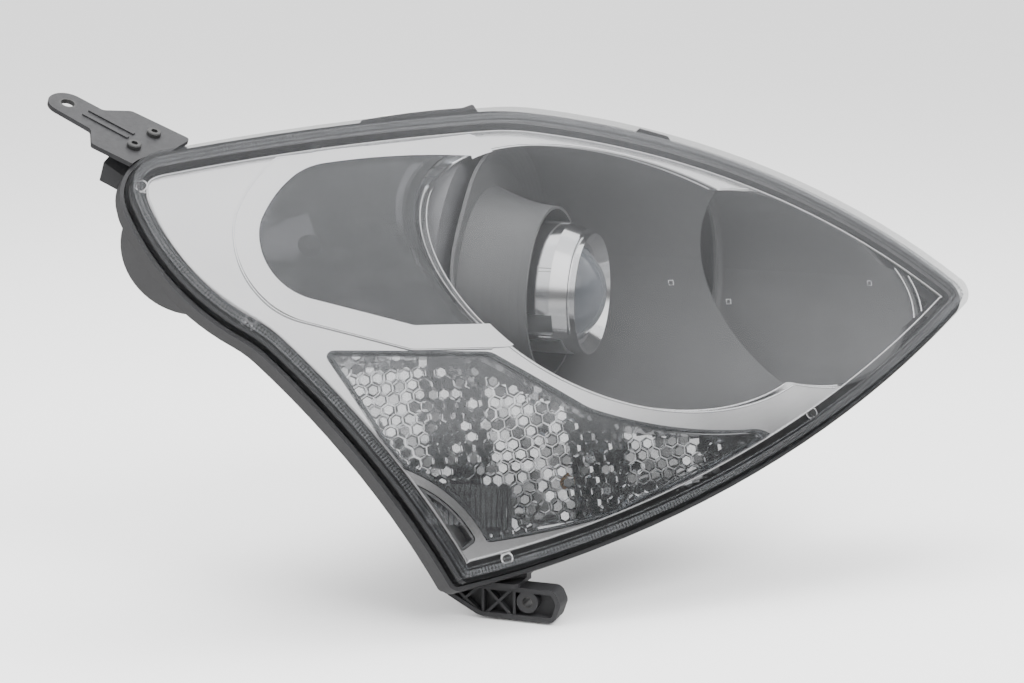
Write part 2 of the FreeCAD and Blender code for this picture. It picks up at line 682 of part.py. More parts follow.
def low_beam_bowl():
    """Dark dish round the projector, with a collar and the wall that parts it from the high beam."""
    size = LOW_BOWL_RADIUS + 0.6
    outer = cup(size + BOWL_WALL, LOW_BOWL_FLOOR + BOWL_WALL, 14 + BOWL_WALL, BOWL_FLARE, LOW_X, LOW_BOWL_Z)
    inner = cup(size, LOW_BOWL_FLOOR, 14, BOWL_FLARE, LOW_X, LOW_BOWL_Z)
    inner = inner.cut(collar_solid(BOWL_WALL).common(along_y(200, COLLAR_FRONT, 80, LOW_X, LOW_Z)))
    bowl = outer.cut(inner).cut(collar_solid(0))
    bowl = bowl.cut(partition_cutter())
    raised = along_y(COLLAR_RADIUS + COLLAR_SPREAD + 2 * BOWL_WALL, -100, 100, LOW_X, LOW_Z)
    room = fused([bowl_room(), raised.common(on_car(behind(COLLAR_DEPTH)))])
    return bowl.common(room)


def high_beam_bowl():
    """Dark dish round the high beam, cut away where the low beam's dish passes."""
    size = HIGH_BOWL_RADIUS + 0.6
    outer = cup(size + BOWL_WALL, HIGH_BOWL_BACK + BOWL_WALL, 4 + BOWL_WALL, BOWL_FLARE, HIGH_BOWL_X, HIGH_BOWL_Z)
    inner = cup(size, HIGH_BOWL_BACK, 4, BOWL_FLARE, HIGH_BOWL_X, HIGH_BOWL_Z)
    mouth = along_y(HIGH_BOWL_RADIUS - 4, HIGH_BOWL_BACK - 9, HIGH_BOWL_BACK + 9, HIGH_BOWL_X, HIGH_BOWL_Z)
    low_dish = along_y(LOW_BOWL_RADIUS + 0.6 + BOWL_WALL + BOWL_FLARE + FIT_GAP, -300, 100, LOW_X, LOW_BOWL_Z)
    bowl = outer.cut([inner, mouth, low_dish])
    return bowl.common(bowl_room())


# ================================================================ side lamp and turn signal
def side_lamp_chamber(inset, start, end):
    """The side lamp's hollow, drawn in by an inset, clear of the low beam's dish."""
    shape = window(SIDE_LAMP_OUTLINE, -FIT_GAP - inset).common(skin(start, end))
    keep_out = along_y(LOW_BOWL_RADIUS + SIDE_LAMP_RIM + inset, -260, 160, LOW_X, LOW_BOWL_Z)
    return on_car(shape).cut(keep_out)


SIDE_LAMP_RIM = 6.0               # width of the clear rim beside the low beam's dish


def side_lamp_reflector():
    """Dished reflector behind the side lamp's inner lens, with a hole for its bulb."""
    start = BEZEL_DEPTH + RIM_DEPTH
    shell = side_lamp_chamber(0, start, SIDE_LAMP_DEPTH).cut(
        side_lamp_chamber(INNER_LENS_WALL, start - 1, SIDE_LAMP_DEPTH - INNER_LENS_WALL))
    return shell.cut(on_car(normal_bar(SIDE_SOCKET_RADIUS - 1.5, SIDE_SOCKET, 20, 90)))


def side_lamp_lens():
    """Smoked inner lens that closes the side lamp."""
    return side_lamp_chamber(0, BEZEL_DEPTH - 1.0, BEZEL_DEPTH + INNER_LENS_WALL)


def side_lamp_rim():
    """Clear ribbed strip between the side lamp and the low beam's dish."""
    strip = window(SIDE_LAMP_OUTLINE, -FIT_GAP).common(skin(BEZEL_DEPTH - 2.0, BEZEL_DEPTH + RIM_DEPTH - 1))
    outer = along_y(LOW_BOWL_RADIUS + SIDE_LAMP_RIM - FIT_GAP, -260, 160, LOW_X, LOW_BOWL_Z)
    inner = along_y(LOW_BOWL_RADIUS + FIT_GAP * 2, -261, 161, LOW_X, LOW_BOWL_Z)
    rolled = bezel_openings(BEZEL_WALL * 0.8 + FIT_GAP)
    return on_car(strip).common(outer).cut([inner, rolled])


def turn_signal_reflector():
    """Tray behind the turn signal's inner lens, folded into two slopes, with a bulb hole."""
    start = BEZEL_DEPTH + 5.5
    tray = window(TURN_OUTLINE, -FIT_GAP).common(skin(start, TURN_DEPTH))
    hollow = window(TURN_OUTLINE, -FIT_GAP - 1.8).common(skin(start - 2, TURN_DEPTH - 2.0))
    tray = on_car(tray.cut(hollow)).cut(low_dish_room())
    return tray.cut(on_car(normal_bar(SOCKET_RADIUS - 1, TURN_SOCKET, 20, 90)))


def low_dish_room():
    """The space that the bowls' outer walls take, with a gap."""
    size = BOWL_WALL + 0.6 + BOWL_FLARE + FIT_GAP
    return fused([
        along_y(LOW_BOWL_RADIUS + size, -260, LOW_BOWL_FLOOR + 5, LOW_X, LOW_BOWL_Z),
        along_y(HIGH_BOWL_RADIUS + size, -300, 60, HIGH_BOWL_X, HIGH_BOWL_Z),
    ])


def behind_rims():
    """The part of the bowls' space that lies behind their front edges."""
    return low_dish_room().common(on_car(behind(BOWL_FRONT_DEPTH - FIT_GAP)))


def turn_signal_lens():
    """Clear inner lens over the turn signal, with a thick edge."""
    face = window(TURN_OUTLINE, -FIT_GAP)
    pane = face.common(skin(BEZEL_DEPTH - 0.6, BEZEL_DEPTH - 0.6 + INNER_LENS_WALL))
    hollow = window(TURN_OUTLINE, -FIT_GAP - 2.4)
    edge = face.cut(hollow).common(skin(BEZEL_DEPTH - 2.0, BEZEL_DEPTH + 5.0))
    return on_car(fused([pane, edge])).cut([bezel_openings(BEZEL_WALL * 0.8 + FIT_GAP), behind_rims()])


def side_marker_pocket():
    """Dark recess beside the foot of the turn signal."""
    tray = window(POCKET_OUTLINE, -FIT_GAP)
    return on_car(tray.common(skin(BEZEL_DEPTH + 1, POCKET_DEPTH)).cut(
        window(POCKET_OUTLINE, -FIT_GAP - 1.5).common(skin(0, POCKET_DEPTH - 2))))


# ================================================================ brackets and fasteners
def headed_screw(radius, length, head_radius, head_height):
    """A screw along -Z from the underside of its head, with a hexagon socket."""
    shank = Part.makeCylinder(radius, length, Vec(0, 0, -length))
    head = Part.makeCylinder(head_radius, head_height)
    rim = [edge for edge in head.Edges if edge.Closed and edge.CenterOfMass.z > head_height / 2]
    head = head.makeChamfer(head_height * 0.2, rim)
    socket = Part.Face(Part.makePolygon([
        Vec(x, y, head_height * 0.45) for x, y in ring_points(6, head_radius * 0.5)] + [
        Vec(head_radius * 0.5, 0, head_height * 0.45)])).extrude(Vec(0, 0, head_height))
    return fused([shank, head]).cut(socket)


def placed(shape, point, direction):
    """Stand a shape drawn along +Z at a point, pointing in a direction."""
    moved = shape.copy()
    moved.Placement = FreeCAD.Placement(Vec(*point), FreeCAD.Rotation(Vec(0, 0, 1), Vec(*direction)))
    return moved


def upper_arm():
    """Flat mounting arm: a wide plate, a narrow tongue with a hole, and two stiffening ridges."""
    plate = prism(outline([
        (-14.0, -27.0, 0.0, 4.0),
        (-12.0, 12.0, 0.0, 11.8),
        (12.0, 12.0, 0.0, 11.8),
        (12.0, -19.0, 0.0, 4.0),
        (27.0, -31.0, 0.0, 5.0),
        (30.0, ARM_BASE, 0.0, 3.0),
        (-26.0, ARM_BASE, 0.0, 3.0),
        (-28.0, -37.0, 0.0, 3.0),
    ]), 0, ARM_THICKNESS)
    ridges = []
    for across in (-3.5, 3.5):
        ridge = block(across - 1.2, across + 1.2, -48.0, -14.0, ARM_THICKNESS - 0.2, ARM_THICKNESS + 1.0)
        ridges.append(ridge)
    solid = fused([plate] + ridges)
    solid = solid.cut(Part.makeCylinder(ARM_HOLE_RADIUS + BUSH_WALL, 20, Vec(0, 0, -8)))
    for across, along in ARM_SCREWS:
        solid = solid.cut(Part.makeCylinder(FOOT_SCREW_RADIUS, 20, Vec(across, along, -8)))
    clear = band(LENS_OUTLINE, CHANNEL_OUTER + 0.4, -30).common(skin(-60, MOUTH_DEPTH + 0.4))
    return on_arm(solid).cut(on_car(clear))


ARM_BASE = -74.0
BUSH_WALL = 1.4


def arm_bush():
    """Steel bush in the arm's hole."""
    tube = Part.makeCylinder(ARM_HOLE_RADIUS + BUSH_WALL, ARM_THICKNESS)
    return on_arm(tube.cut(Part.makeCylinder(ARM_HOLE_RADIUS, 3 * ARM_THICKNESS, Vec(0, 0, -ARM_THICKNESS))))


def arm_screws():
    """Two screws that hold the arm."""
    screw = headed_screw(FOOT_SCREW_RADIUS, 11.0 + ARM_THICKNESS, 4.5, 3.0)
    return [on_arm(screw.translated(Vec(across, along, ARM_THICKNESS))) for across, along in ARM_SCREWS]


BOSS_RADIUS = 7.0
FOOT_FLANGE = 3.0
FOOT_SIDE = (-27.0, -11.0)        # x of the lower bracket's two sides, from the crown


def lower_bracket():
    """Lower bracket: a ribbed upright web with a bolt boss, and a flange screwed to the housing."""
    hole_x, hole_y, hole_z = [-value for value in CROWN]
    top = FOOT_LUG[4] - FOOT_FLANGE
    height = top - hole_z
    side = outline([
        (-22.0, 0.0, 0.0, 5.0),
        (-18.0, height, 0.0, 6.0),
        (54.0, height, 0.0, 1.0),
        (58.0, 2.0, 0.0, 6.0),
        (32.0, -12.0, 0.0, 14.0),
        (-18.0, -12.0, 0.0, 5.0),
    ])
    left, right = FOOT_SIDE
    width = right - left
    frame = prism(side, 0, width).cut(prism(grown(side, -BRACKET_WALL), -1, width + 1))
    web = prism(side, width / 2 - 1, width / 2 + 1)
    ribs = []
    for start, end in ((54, 30), (30, 54), (30, 9), (9, 30)):
        low, high = Vec(start, -12.0, 0), Vec(end, height, 0)
        way = high - low
        bar = block(0, way.Length, -RIB_WALL / 2, RIB_WALL / 2, 1.0, width - 1.0)
        turn = math.degrees(math.atan2(way.y, way.x))
        bar.Placement = FreeCAD.Placement(low, FreeCAD.Rotation(Vec(0, 0, 1), turn))
        ribs.append(bar)
    for along in (30.0, 9.0):
        ribs.append(block(along - RIB_WALL / 2, along + RIB_WALL / 2, -12.0, height, 1.0, width - 1.0))
    ribs = [rib.common(prism(side, 0, width)) for rib in ribs]
    boss = Part.makeCylinder(BOSS_RADIUS, width)
    solid = fused([frame, web, boss] + ribs)
    solid = solid.cut(Part.makeCylinder(BOLT_HOLE_RADIUS + BUSH_WALL, width + 2, Vec(0, 0, -1)))
    # drawn with x back along the car, y up and z inboard
    solid.Placement = FreeCAD.Placement(FreeCAD.Matrix(
        0, 0, 1, left,
        1, 0, 0, hole_y,
        0, 1, 0, hole_z,
        0, 0, 0, 1))
    x0, x1, y0, y1, z0, z1 = FOOT_LUG
    flange = block(x0, x1, y0, y1, top, FOOT_LUG[4])
    flange = flange.makeFillet(5.0, [edge for edge in flange.Edges if abs(edge.Length - FOOT_FLANGE) < 0.01])
    solid = fused([solid, flange])
    for x, y in FOOT_SCREWS:
        solid = solid.cut(Part.makeCylinder(FOOT_SCREW_RADIUS, 20, Vec(x, y, top - 8)))
        solid = solid.cut(Part.makeCylinder(5.0, 30, Vec(x, y, top - 30)))
    return solid


RIB_WALL = 1.8


def bracket_bush():
    """Steel bush in the lower bracket's bolt hole."""
    left, right = FOOT_SIDE
    hole_x, hole_y, hole_z = [-value for value in CROWN]
    tube = Part.makeCylinder(BOLT_HOLE_RADIUS + BUSH_WALL, right - left, Vec(left, hole_y, hole_z), Vec(1, 0, 0))
    return tube.cut(Part.makeCylinder(BOLT_HOLE_RADIUS, 60, Vec(left - 10, hole_y, hole_z), Vec(1, 0, 0)))


def bracket_screws():
    """Two screws up through the lower bracket's flange."""
    screw = headed_screw(FOOT_SCREW_RADIUS, 8.0 + FOOT_FLANGE, 4.2, 3.0)
    top = FOOT_LUG[4] - FOOT_FLANGE
    return [placed(screw, (x, y, top), (0, 0, -1)) for x, y in FOOT_SCREWS]


def bezel_screws():
    """Screws through the bezel's ears into the housing's posts."""
    shank = 8.0 + BEZEL_WALL
    screws = []
    for u, v in ear_places():
        foot = lens_w(u, v, EAR_DEPTH - BEZEL_WALL)
        bar = fused([
            Part.makeCylinder(EAR_SCREW_RADIUS, shank, Vec(u, v, foot - shank)),
            Part.makeCylinder(2.5, 2.0, Vec(u, v, foot)),
        ])
        screws.append(on_car(bar))
    return screws


# ================================================================ caps, sockets and bulbs
CAP_WALL = 2.2
CAP_DEPTH = 22.0
CAP_GRIP_COUNT = 12
SEAL_RING = 2.0


def twist_cap(radius, end, x, z):
    """Cup-shaped cap over a neck, with grooves for the neck's lugs and a finger bar."""
    inner = radius + SERVICE_GAP
    outer = inner + CAP_LUG_HEIGHT + CAP_WALL + SERVICE_GAP
    front = end - CAP_DEPTH
    back = end + SEAL_RING
    cup_wall = tube_y(outer, inner, front, back, x, z)
    plate = along_y(outer, back, back + CAP_WALL, x, z)
    bar = block(x - radius * 0.75, x + radius * 0.75, back + CAP_WALL - 0.1, back + CAP_WALL + 9, z - 3, z + 3)
    grips = []
    for across, up in ring_points(CAP_GRIP_COUNT, outer):
        grips.append(along_y(2.5, front + 2, back + CAP_WALL, x + across, z + up))
    body = fused([cup_wall, plate, bar] + grips)
    body = body.cut(neck_lugs(radius, end, x, z, SERVICE_GAP, CAP_TWIST))
    entry = []
    for index in range(CAP_LUG_COUNT):
        start = index * 360.0 / CAP_LUG_COUNT - CAP_LUG_ANGLE / 2 - CAP_TWIST - 1
        entry.append(ring_sector(inner + CAP_LUG_HEIGHT, inner - 1, front - 1, end - CAP_LUG_SETBACK,
                                 x, z, start, CAP_LUG_ANGLE + 2))
    return body.cut(entry)


def cap_seal(radius, end, x, z):
    """Soft ring between a cap and the end of its neck."""
    return tube_y(radius - 0.2, radius - WALL - 1.0, end + 0.02, end + SEAL_RING, x, z)


def low_beam_cap():
    """Twist-off cover behind the low beam."""
    return twist_cap(LOW_NECK_RADIUS, LOW_NECK_END, LOW_X, LOW_Z)


def high_beam_cap():
    """Twist-off cover behind the high beam."""
    return twist_cap(HIGH_NECK_RADIUS, HIGH_NECK_END, HIGH_X, HIGH_Z)


def low_beam_cap_seal():
    """Seal of the low-beam cover."""
    return cap_seal(LOW_NECK_RADIUS, LOW_NECK_END, LOW_X, LOW_Z)


def high_beam_cap_seal():
    """Seal of the high-beam cover."""
    return cap_seal(HIGH_NECK_RADIUS, HIGH_NECK_END, HIGH_X, HIGH_Z)


def bulb_socket(radius, place):
    """Twist-in bulb holder: a plug in the housing's neck, a flange, a grip and two contacts' shroud."""
    end = WING_DEPTH + SOCKET_NECK
    plug = normal_bar(radius - SERVICE_GAP, place, WING_DEPTH - 6, end)
    flange = normal_bar(radius + WALL + 2, place, end + SERVICE_GAP, end + 3)
    shroud = normal_bar(radius * 0.6, place, end + 2, end + 14)
    u, v = place
    low, high = lens_w(u, v, end + 12), lens_w(u, v, end + 2)
    grip = block(u - radius - 1, u + radius + 1, v - 1.5, v + 1.5, low, high)
    link = normal_bar(radius - SERVICE_GAP, place, end - 1, end + 1)
    return on_car(fused([plug, link, flange, shroud, grip]))


def capsule_bulb(place, depth, base_depth, glass_radius):
    """A small glass bulb on its brass base, square to the lens's mid plane."""
    u, v = place
    top = lens_w(u, v, depth)
    foot = lens_w(u, v, base_depth)
    dome = Part.makeSphere(glass_radius, Vec(u, v, top - glass_radius))
    stem = Part.makeCylinder(glass_radius, top - glass_radius - foot, Vec(u, v, foot))
    return on_car(fused([dome, stem]))


def turn_signal_socket():
    """Bulb holder of the turn signal."""
    return bulb_socket(SOCKET_RADIUS, TURN_SOCKET)


def turn_signal_bulb():
    """Amber glass bulb of the turn signal."""
    return capsule_bulb(TURN_SOCKET, TURN_DEPTH - 18, WING_DEPTH - 6, 8.0)


def side_lamp_socket():
    """Bulb holder of the side lamp."""
    return bulb_socket(SIDE_SOCKET_RADIUS, SIDE_SOCKET)


def side_lamp_bulb():
    """Small wedge bulb of the side lamp."""
    return capsule_bulb(SIDE_SOCKET, SIDE_LAMP_DEPTH - 16, WING_DEPTH - 6, 4.6)


def breather_cap():
    """Elbow-shaped breather over the vent stub."""
    tube = normal_tube(BREATHER_RADIUS + 2.0, BREATHER_RADIUS + 0.15, BREATHER, LOBE_DEPTH + 3, LOBE_DEPTH + SOCKET_NECK)
    end = normal_bar(BREATHER_RADIUS + 2.0, BREATHER, LOBE_DEPTH + SOCKET_NECK, LOBE_DEPTH + SOCKET_NECK + 4)
    return on_car(fused([tube, end]))


def connector_inlet():
    """Wiring inlet in the housing's back: a square shroud with a flange."""
    plug = connector_block(-FIT_GAP / 2, LOW_BUCKET_BACK - 4, CONNECTOR_END)
    flange = connector_block(2.6, LOW_BUCKET_BACK, LOW_BUCKET_BACK + 2.5)
    hollow = connector_block(-CONNECTOR_WALL, LOW_BUCKET_BACK + 2, CONNECTOR_END + 1)
    return fused([plug, flange]).cut(hollow)


def connector_blades():
    """Contact blades inside the wiring inlet, in two rows."""
    blades = []
    for column in range(CONNECTOR_COLUMNS):
        across = CONNECTOR_X + (column - (CONNECTOR_COLUMNS - 1) / 2) * BLADE_PITCH
        for row in (-1, 1):
            up = CONNECTOR_Z + row * 2.4
            blades.append(block(across - 1.0, across + 1.0, LOW_BUCKET_BACK + 2, CONNECTOR_END - 9,
                                up - 0.4, up + 0.4))
    return blades


CONNECTOR_END = LOW_BUCKET_BACK + 19.0
CONNECTOR_WALL = 2.0
CONNECTOR_COLUMNS = 5
BLADE_PITCH = 4.2


# ================================================================ projector and high beam
HOLDER_FRONT = 0.0
HOLDER_RADIUS = 40.0
HOLDER_WALL = 2.0
FLANGE_RADIUS = 50.0
CARRIER_BACK = CARRIER_FRONT + CARRIER_THICKNESS
REFLECTOR_LENGTH = 38.0
BULB_HOLE_RADIUS = 12.0
LENS_DOME = 17.0


def projector_lens():
    """Thick condenser lens: flat at the back, domed in front, with a rim."""
    rim = along_y(PROJECTOR_LENS_RADIUS, HOLDER_FRONT - 3.0, HOLDER_FRONT, LOW_X, LOW_Z)
    radius = PROJECTOR_LENS_RADIUS - 2.0
    ball = (radius ** 2 + LENS_DOME ** 2) / (2 * LENS_DOME)
    face = HOLDER_FRONT - 3.0
    dome = Part.makeSphere(ball, Vec(LOW_X, face - LENS_DOME + ball, LOW_Z))
    dome = dome.common(along_y(radius, face - LENS_DOME - 1, face + 0.1, LOW_X, LOW_Z))
    return fused([rim, dome])


def lens_holder():
    """Cast holder: a tube that carries the projector lens, with a flange for the carrier."""
    tube = tube_y(HOLDER_RADIUS, HOLDER_RADIUS - HOLDER_WALL, HOLDER_FRONT, CARRIER_FRONT - 4, LOW_X, LOW_Z)
    seat = tube_y(HOLDER_RADIUS, PROJECTOR_LENS_RADIUS - 3, HOLDER_FRONT, HOLDER_FRONT + 2.5, LOW_X, LOW_Z)
    flange = tube_y(FLANGE_RADIUS, HOLDER_RADIUS - HOLDER_WALL, CARRIER_FRONT - 4, CARRIER_FRONT, LOW_X, LOW_Z)
    solid = fused([tube, seat, flange])
    return solid.cut(flange_holes(FOOT_SCREW_RADIUS))


def flange_holes(radius):
    """Four screw holes round the projector's flange."""
    return [along_y(radius, CARRIER_FRONT - 12, CARRIER_BACK + 12, LOW_X + across, LOW_Z + up)
            for across, up in ring_points(4, HOLDER_RADIUS + 5.0, 45.0)]


def projector_shroud():
    """Bright C-shaped shroud over the projector's front, with ribs and a cut-away foot."""
    back = RING_FRONT + 27.0
    knee = RING_FRONT + 10.0
    outer = SHROUD_RADIUS
    front_radius = SHROUD_RADIUS - 4.0
    wall = 1.8
    shell = spun_y([
        (outer - wall, back), (outer, back), (outer, knee), (front_radius, RING_FRONT),
        (front_radius - wall, RING_FRONT), (outer - wall, knee),
    ], LOW_X, LOW_Z)
    ribs = []
    for angle in (92.0, 152.0, 208.0):
        for side in (-1.4, 1.4):
            rib = ring_sector(outer + 0.7, outer - wall / 2, knee, back, LOW_X, LOW_Z, angle + side - 0.4, 0.8)
            ribs.append(rib)
    gap_low = ring_sector(outer + 5, outer - 8, RING_FRONT + 8.5, back + 1, LOW_X, LOW_Z, 189.0, 17.0)
    open_side = ring_sector(outer + 5, outer - 14, RING_FRONT - 1, back + 1, LOW_X, LOW_Z, 213.0, 217.0)
    feet = []
    for angle in (80.0, 150.0, 209.0):
        feet.append(ring_sector(outer - wall / 2, HOLDER_RADIUS, back - 6, back, LOW_X, LOW_Z, angle - 2.5, 5.0))
    return fused([fused([shell] + ribs).cut([gap_low, open_side])] + feet)


def projector_trim_ring():
    """Polished flared ring round the projector lens."""
    return spun_y([
        (PROJECTOR_LENS_RADIUS + 0.2, HOLDER_FRONT), (PROJECTOR_LENS_RADIUS + 0.2, HOLDER_FRONT - 3.2),
        (PROJECTOR_LENS_RADIUS - 1.4, HOLDER_FRONT - 3.2), (PROJECTOR_LENS_RADIUS - 1.4, HOLDER_FRONT - 4.6),
        (PROJECTOR_LENS_RADIUS + 1.5, HOLDER_FRONT - 4.6), (SHROUD_RADIUS - 6.8, RING_FRONT - 5.0),
        (SHROUD_RADIUS - 6.0, RING_FRONT - 5.0), (HOLDER_RADIUS - 1.0, HOLDER_FRONT),
    ], LOW_X, LOW_Z)


def cut_off_shield():
    """Stepped plate that gives the low beam its cut-off."""
    disc = along_y(HOLDER_RADIUS - HOLDER_WALL, CARRIER_FRONT - 10, CARRIER_FRONT - 8.8, LOW_X, LOW_Z)
    step = outline([(-50.0, -50.0, 0.0, 0.0), (-50.0, 0.0, 0.0, 0.0), (-2.0, 0.0, 0.0, 0.0),
                    (2.0, -3.0, 0.0, 0.0), (50.0, -3.0, 0.0, 0.0), (50.0, -50.0, 0.0, 0.0)])
    keep = prism(step, -20, 20)
    keep.Placement = FreeCAD.Placement(
        Vec(LOW_X, CARRIER_FRONT - 9, LOW_Z), FreeCAD.Rotation(Vec(1, 0, 0), 90))
    return disc.common(keep)


def shell_of_revolution(profile, wall, x, z):
    """A dish of even wall whose inside follows (radius, y) points from rim to neck."""
    outside = [(radius + wall, y + wall * 0.3) for radius, y in reversed(profile)]
    return spun_y(profile + outside, x, z)


def projector_reflector():
    """Deep ellipsoidal reflector behind the cut-off shield."""
    steps = 10
    mouth = HOLDER_RADIUS - 4.0
    start = math.asin(BULB_HOLE_RADIUS / mouth)
    profile = []
    for index in range(steps + 1):
        turn = math.pi / 2 - (math.pi / 2 - start) * index / steps
        profile.append((mouth * math.sin(turn), CARRIER_BACK + REFLECTOR_LENGTH * math.cos(turn)))
    profile.append((BULB_HOLE_RADIUS, BULB_SEAT - 1.0))
    dish = shell_of_revolution(profile, 2.0, LOW_X, LOW_Z)
    flange = tube_y(FLANGE_RADIUS, mouth, CARRIER_BACK, CARRIER_BACK + 2.5, LOW_X, LOW_Z)
    return fused([dish, flange]).cut(flange_holes(FOOT_SCREW_RADIUS))


BULB_SEAT = CARRIER_BACK + 41.0


def lamp_bulb(x, z, seat, reach, glass_radius):
    """Halogen capsule that stands forward of its seat."""
    tip = seat - reach
    dome = Part.makeSphere(glass_radius, Vec(x, tip + glass_radius, z))
    return fused([dome, along_y(glass_radius, tip + glass_radius, seat, x, z)])


def bulb_base(x, z, seat, flange_radius, hole_radius):
    """Metal flange and plastic tail of a headlamp bulb, with two blades."""
    plug = along_y(hole_radius - 0.4, seat - 3.0, seat, x, z)
    flange = along_y(flange_radius, seat, seat + 1.5, x, z)
    tail = along_y(hole_radius * 0.75, seat + 1.5, seat + 9.0, x, z)
    blades = [block(x + side - 0.4, x + side + 0.4, seat + 9.0, seat + 15.0, z - 3.0, z + 3.0) for side in (-4, 4)]
    return plug, flange, tail, blades


def low_beam_bulb():
    """Glass of the low-beam bulb."""
    return lamp_bulb(LOW_X, LOW_Z, BULB_SEAT - 3.0, 26.0, 5.5)


def low_beam_bulb_base():
    """Base of the low-beam bulb."""
    plug, flange, tail, blades = bulb_base(LOW_X, LOW_Z, BULB_SEAT, 17.0, BULB_HOLE_RADIUS)
    return fused([plug, flange, tail] + blades)


CLIP_WIRE = 0.9
CLIP_HINGE_Z = LOW_Z + 21.0
CLIP_Y = BULB_SEAT + 1.5 + CLIP_WIRE + 0.3


def bulb_clip():
    """Sprung wire bail that presses the low-beam bulb into its seat."""
    top = CLIP_HINGE_Z
    foot = LOW_Z - 20.0
    points = [Vec(LOW_X - 6, CLIP_Y, top), Vec(LOW_X - 11, CLIP_Y, top - 6), Vec(LOW_X - 11, CLIP_Y, foot + 6),
              Vec(LOW_X - 5, CLIP_Y, foot), Vec(LOW_X + 5, CLIP_Y, foot), Vec(LOW_X + 11, CLIP_Y, foot + 6),
              Vec(LOW_X + 11, CLIP_Y, top - 6), Vec(LOW_X + 6, CLIP_Y, top)]
    pieces = [Part.makeCylinder(CLIP_WIRE, 12, Vec(LOW_X - 6, CLIP_Y, top), Vec(1, 0, 0))]
    for start, end in zip(points, points[1:]):
        way = end - start
        pieces.append(Part.makeCylinder(CLIP_WIRE, way.Length, start, way))
        pieces.append(Part.makeSphere(CLIP_WIRE, start))
    pieces.append(Part.makeSphere(CLIP_WIRE, points[-1]))
    return fused(pieces)


def clip_posts():
    """Hinge eye and hook for the bulb clip, on the back of the projector's reflector."""
    eye = block(LOW_X - 4, LOW_X + 4, BULB_SEAT - 9, CLIP_Y + 3, CLIP_HINGE_Z - 3, CLIP_HINGE_Z + 3)
    bore = Part.makeCylinder(CLIP_WIRE + RUNNING_GAP, 10, Vec(LOW_X - 5, CLIP_Y, CLIP_HINGE_Z), Vec(1, 0, 0))
    foot = LOW_Z - 20.0
    hook = block(LOW_X - 3, LOW_X + 3, BULB_SEAT - 9, CLIP_Y - CLIP_WIRE - 0.3, foot - 3, foot + 3)
    return eye.cut(bore), hook


def reflector_with_posts():
    """The projector's reflector with its clip posts and the ring that they stand on."""
    eye, hook = clip_posts()
    seat = tube_y(24.0, BULB_HOLE_RADIUS, BULB_SEAT - 10, BULB_SEAT - 8, LOW_X, LOW_Z)
    neck = tube_y(BULB_HOLE_RADIUS + 2.0, BULB_HOLE_RADIUS, BULB_SEAT - 10, BULB_SEAT, LOW_X, LOW_Z)
    return fused([projector_reflector(), seat, neck, eye, hook])


def crescent(growth):
    """The high-beam reflector's outline: the high dish's circle less the low dish's, along Y."""
    high = along_y(HIGH_BOWL_RADIUS - 5.2 + growth, -200, 100, HIGH_BOWL_X, HIGH_BOWL_Z)
    room = LOW_BOWL_RADIUS + BOWL_WALL + BOWL_FLARE + 6.5 - growth
    return high.cut(along_y(room, -201, 101, LOW_X, LOW_BOWL_Z))


HIGH_RIM = HIGH_BOWL_BACK + BOWL_WALL + 4.0
HIGH_WALL = 2.2


def paraboloid(shift):
    """Solid dish of the high beam's focal length, moved back along Y."""
    steps = 14
    reach = 96.0
    profile = [(0.0, HIGH_APEX + shift)]
    for index in range(1, steps + 1):
        radius = reach * index / steps
        profile.append((radius, HIGH_APEX + shift - radius * radius / (4 * HIGH_FOCAL_LENGTH)))
    profile.append((0.0, profile[-1][1]))
    return spun_y(profile, HIGH_X, HIGH_Z)


def high_beam_reflector():
    """Cropped dish reflector of the high beam, with a neck for its bulb and three legs."""
    room = block(-400, 400, HIGH_RIM, HIGH_APEX + 30, -200, 200)
    dish = crescent(0).common(paraboloid(HIGH_WALL)).cut(paraboloid(0))
    neck = tube_y(BULB_HOLE_RADIUS, BULB_HOLE_RADIUS - 2.0, HIGH_APEX - 4, HIGH_SEAT, HIGH_X, HIGH_Z)
    solid = fused([dish.common(room), neck])
    solid = solid.cut(along_y(BULB_HOLE_RADIUS - 2.0, HIGH_APEX - 30, HIGH_APEX + 30, HIGH_X, HIGH_Z))
    legs = [along_y(3.5, HIGH_APEX - 22, CARRIER_FRONT, x, z).cut(paraboloid(0)) for x, z in HIGH_LEGS]
    return fused([solid] + legs)


HIGH_SEAT = HIGH_APEX + 12.0
HIGH_LEGS = ((176.0, 32.0), (176.0, -24.0), (194.0, 4.0))


def high_beam_bulb():
    """Glass of the high-beam bulb."""
    return lamp_bulb(HIGH_X, HIGH_Z, HIGH_SEAT - 3.0, 24.0, 4.6)


def high_beam_bulb_base():
    """Base of the high-beam bulb."""
    plug, flange, tail, blades = bulb_base(HIGH_X, HIGH_Z, HIGH_SEAT, 14.0, BULB_HOLE_RADIUS - 2.0)
    return fused([plug, flange, tail] + blades)


def high_beam_bulb_shield():
    """Small bright cup in front of the high-beam bulb, on a stalk from the reflector."""
    tip = HIGH_SEAT - 3.0 - 24.0
    shell = tube_y(7.5, 6.3, tip - 5, tip + 8, HIGH_X, HIGH_Z)
    end = along_y(7.5, tip - 6, tip - 5, HIGH_X, HIGH_Z)
    stalk = block(HIGH_X - 1.5, HIGH_X + 1.5, tip + 2, HIGH_APEX - 0.5, HIGH_Z + 6.4, HIGH_Z + 7.6)
    return fused([shell, end, stalk])


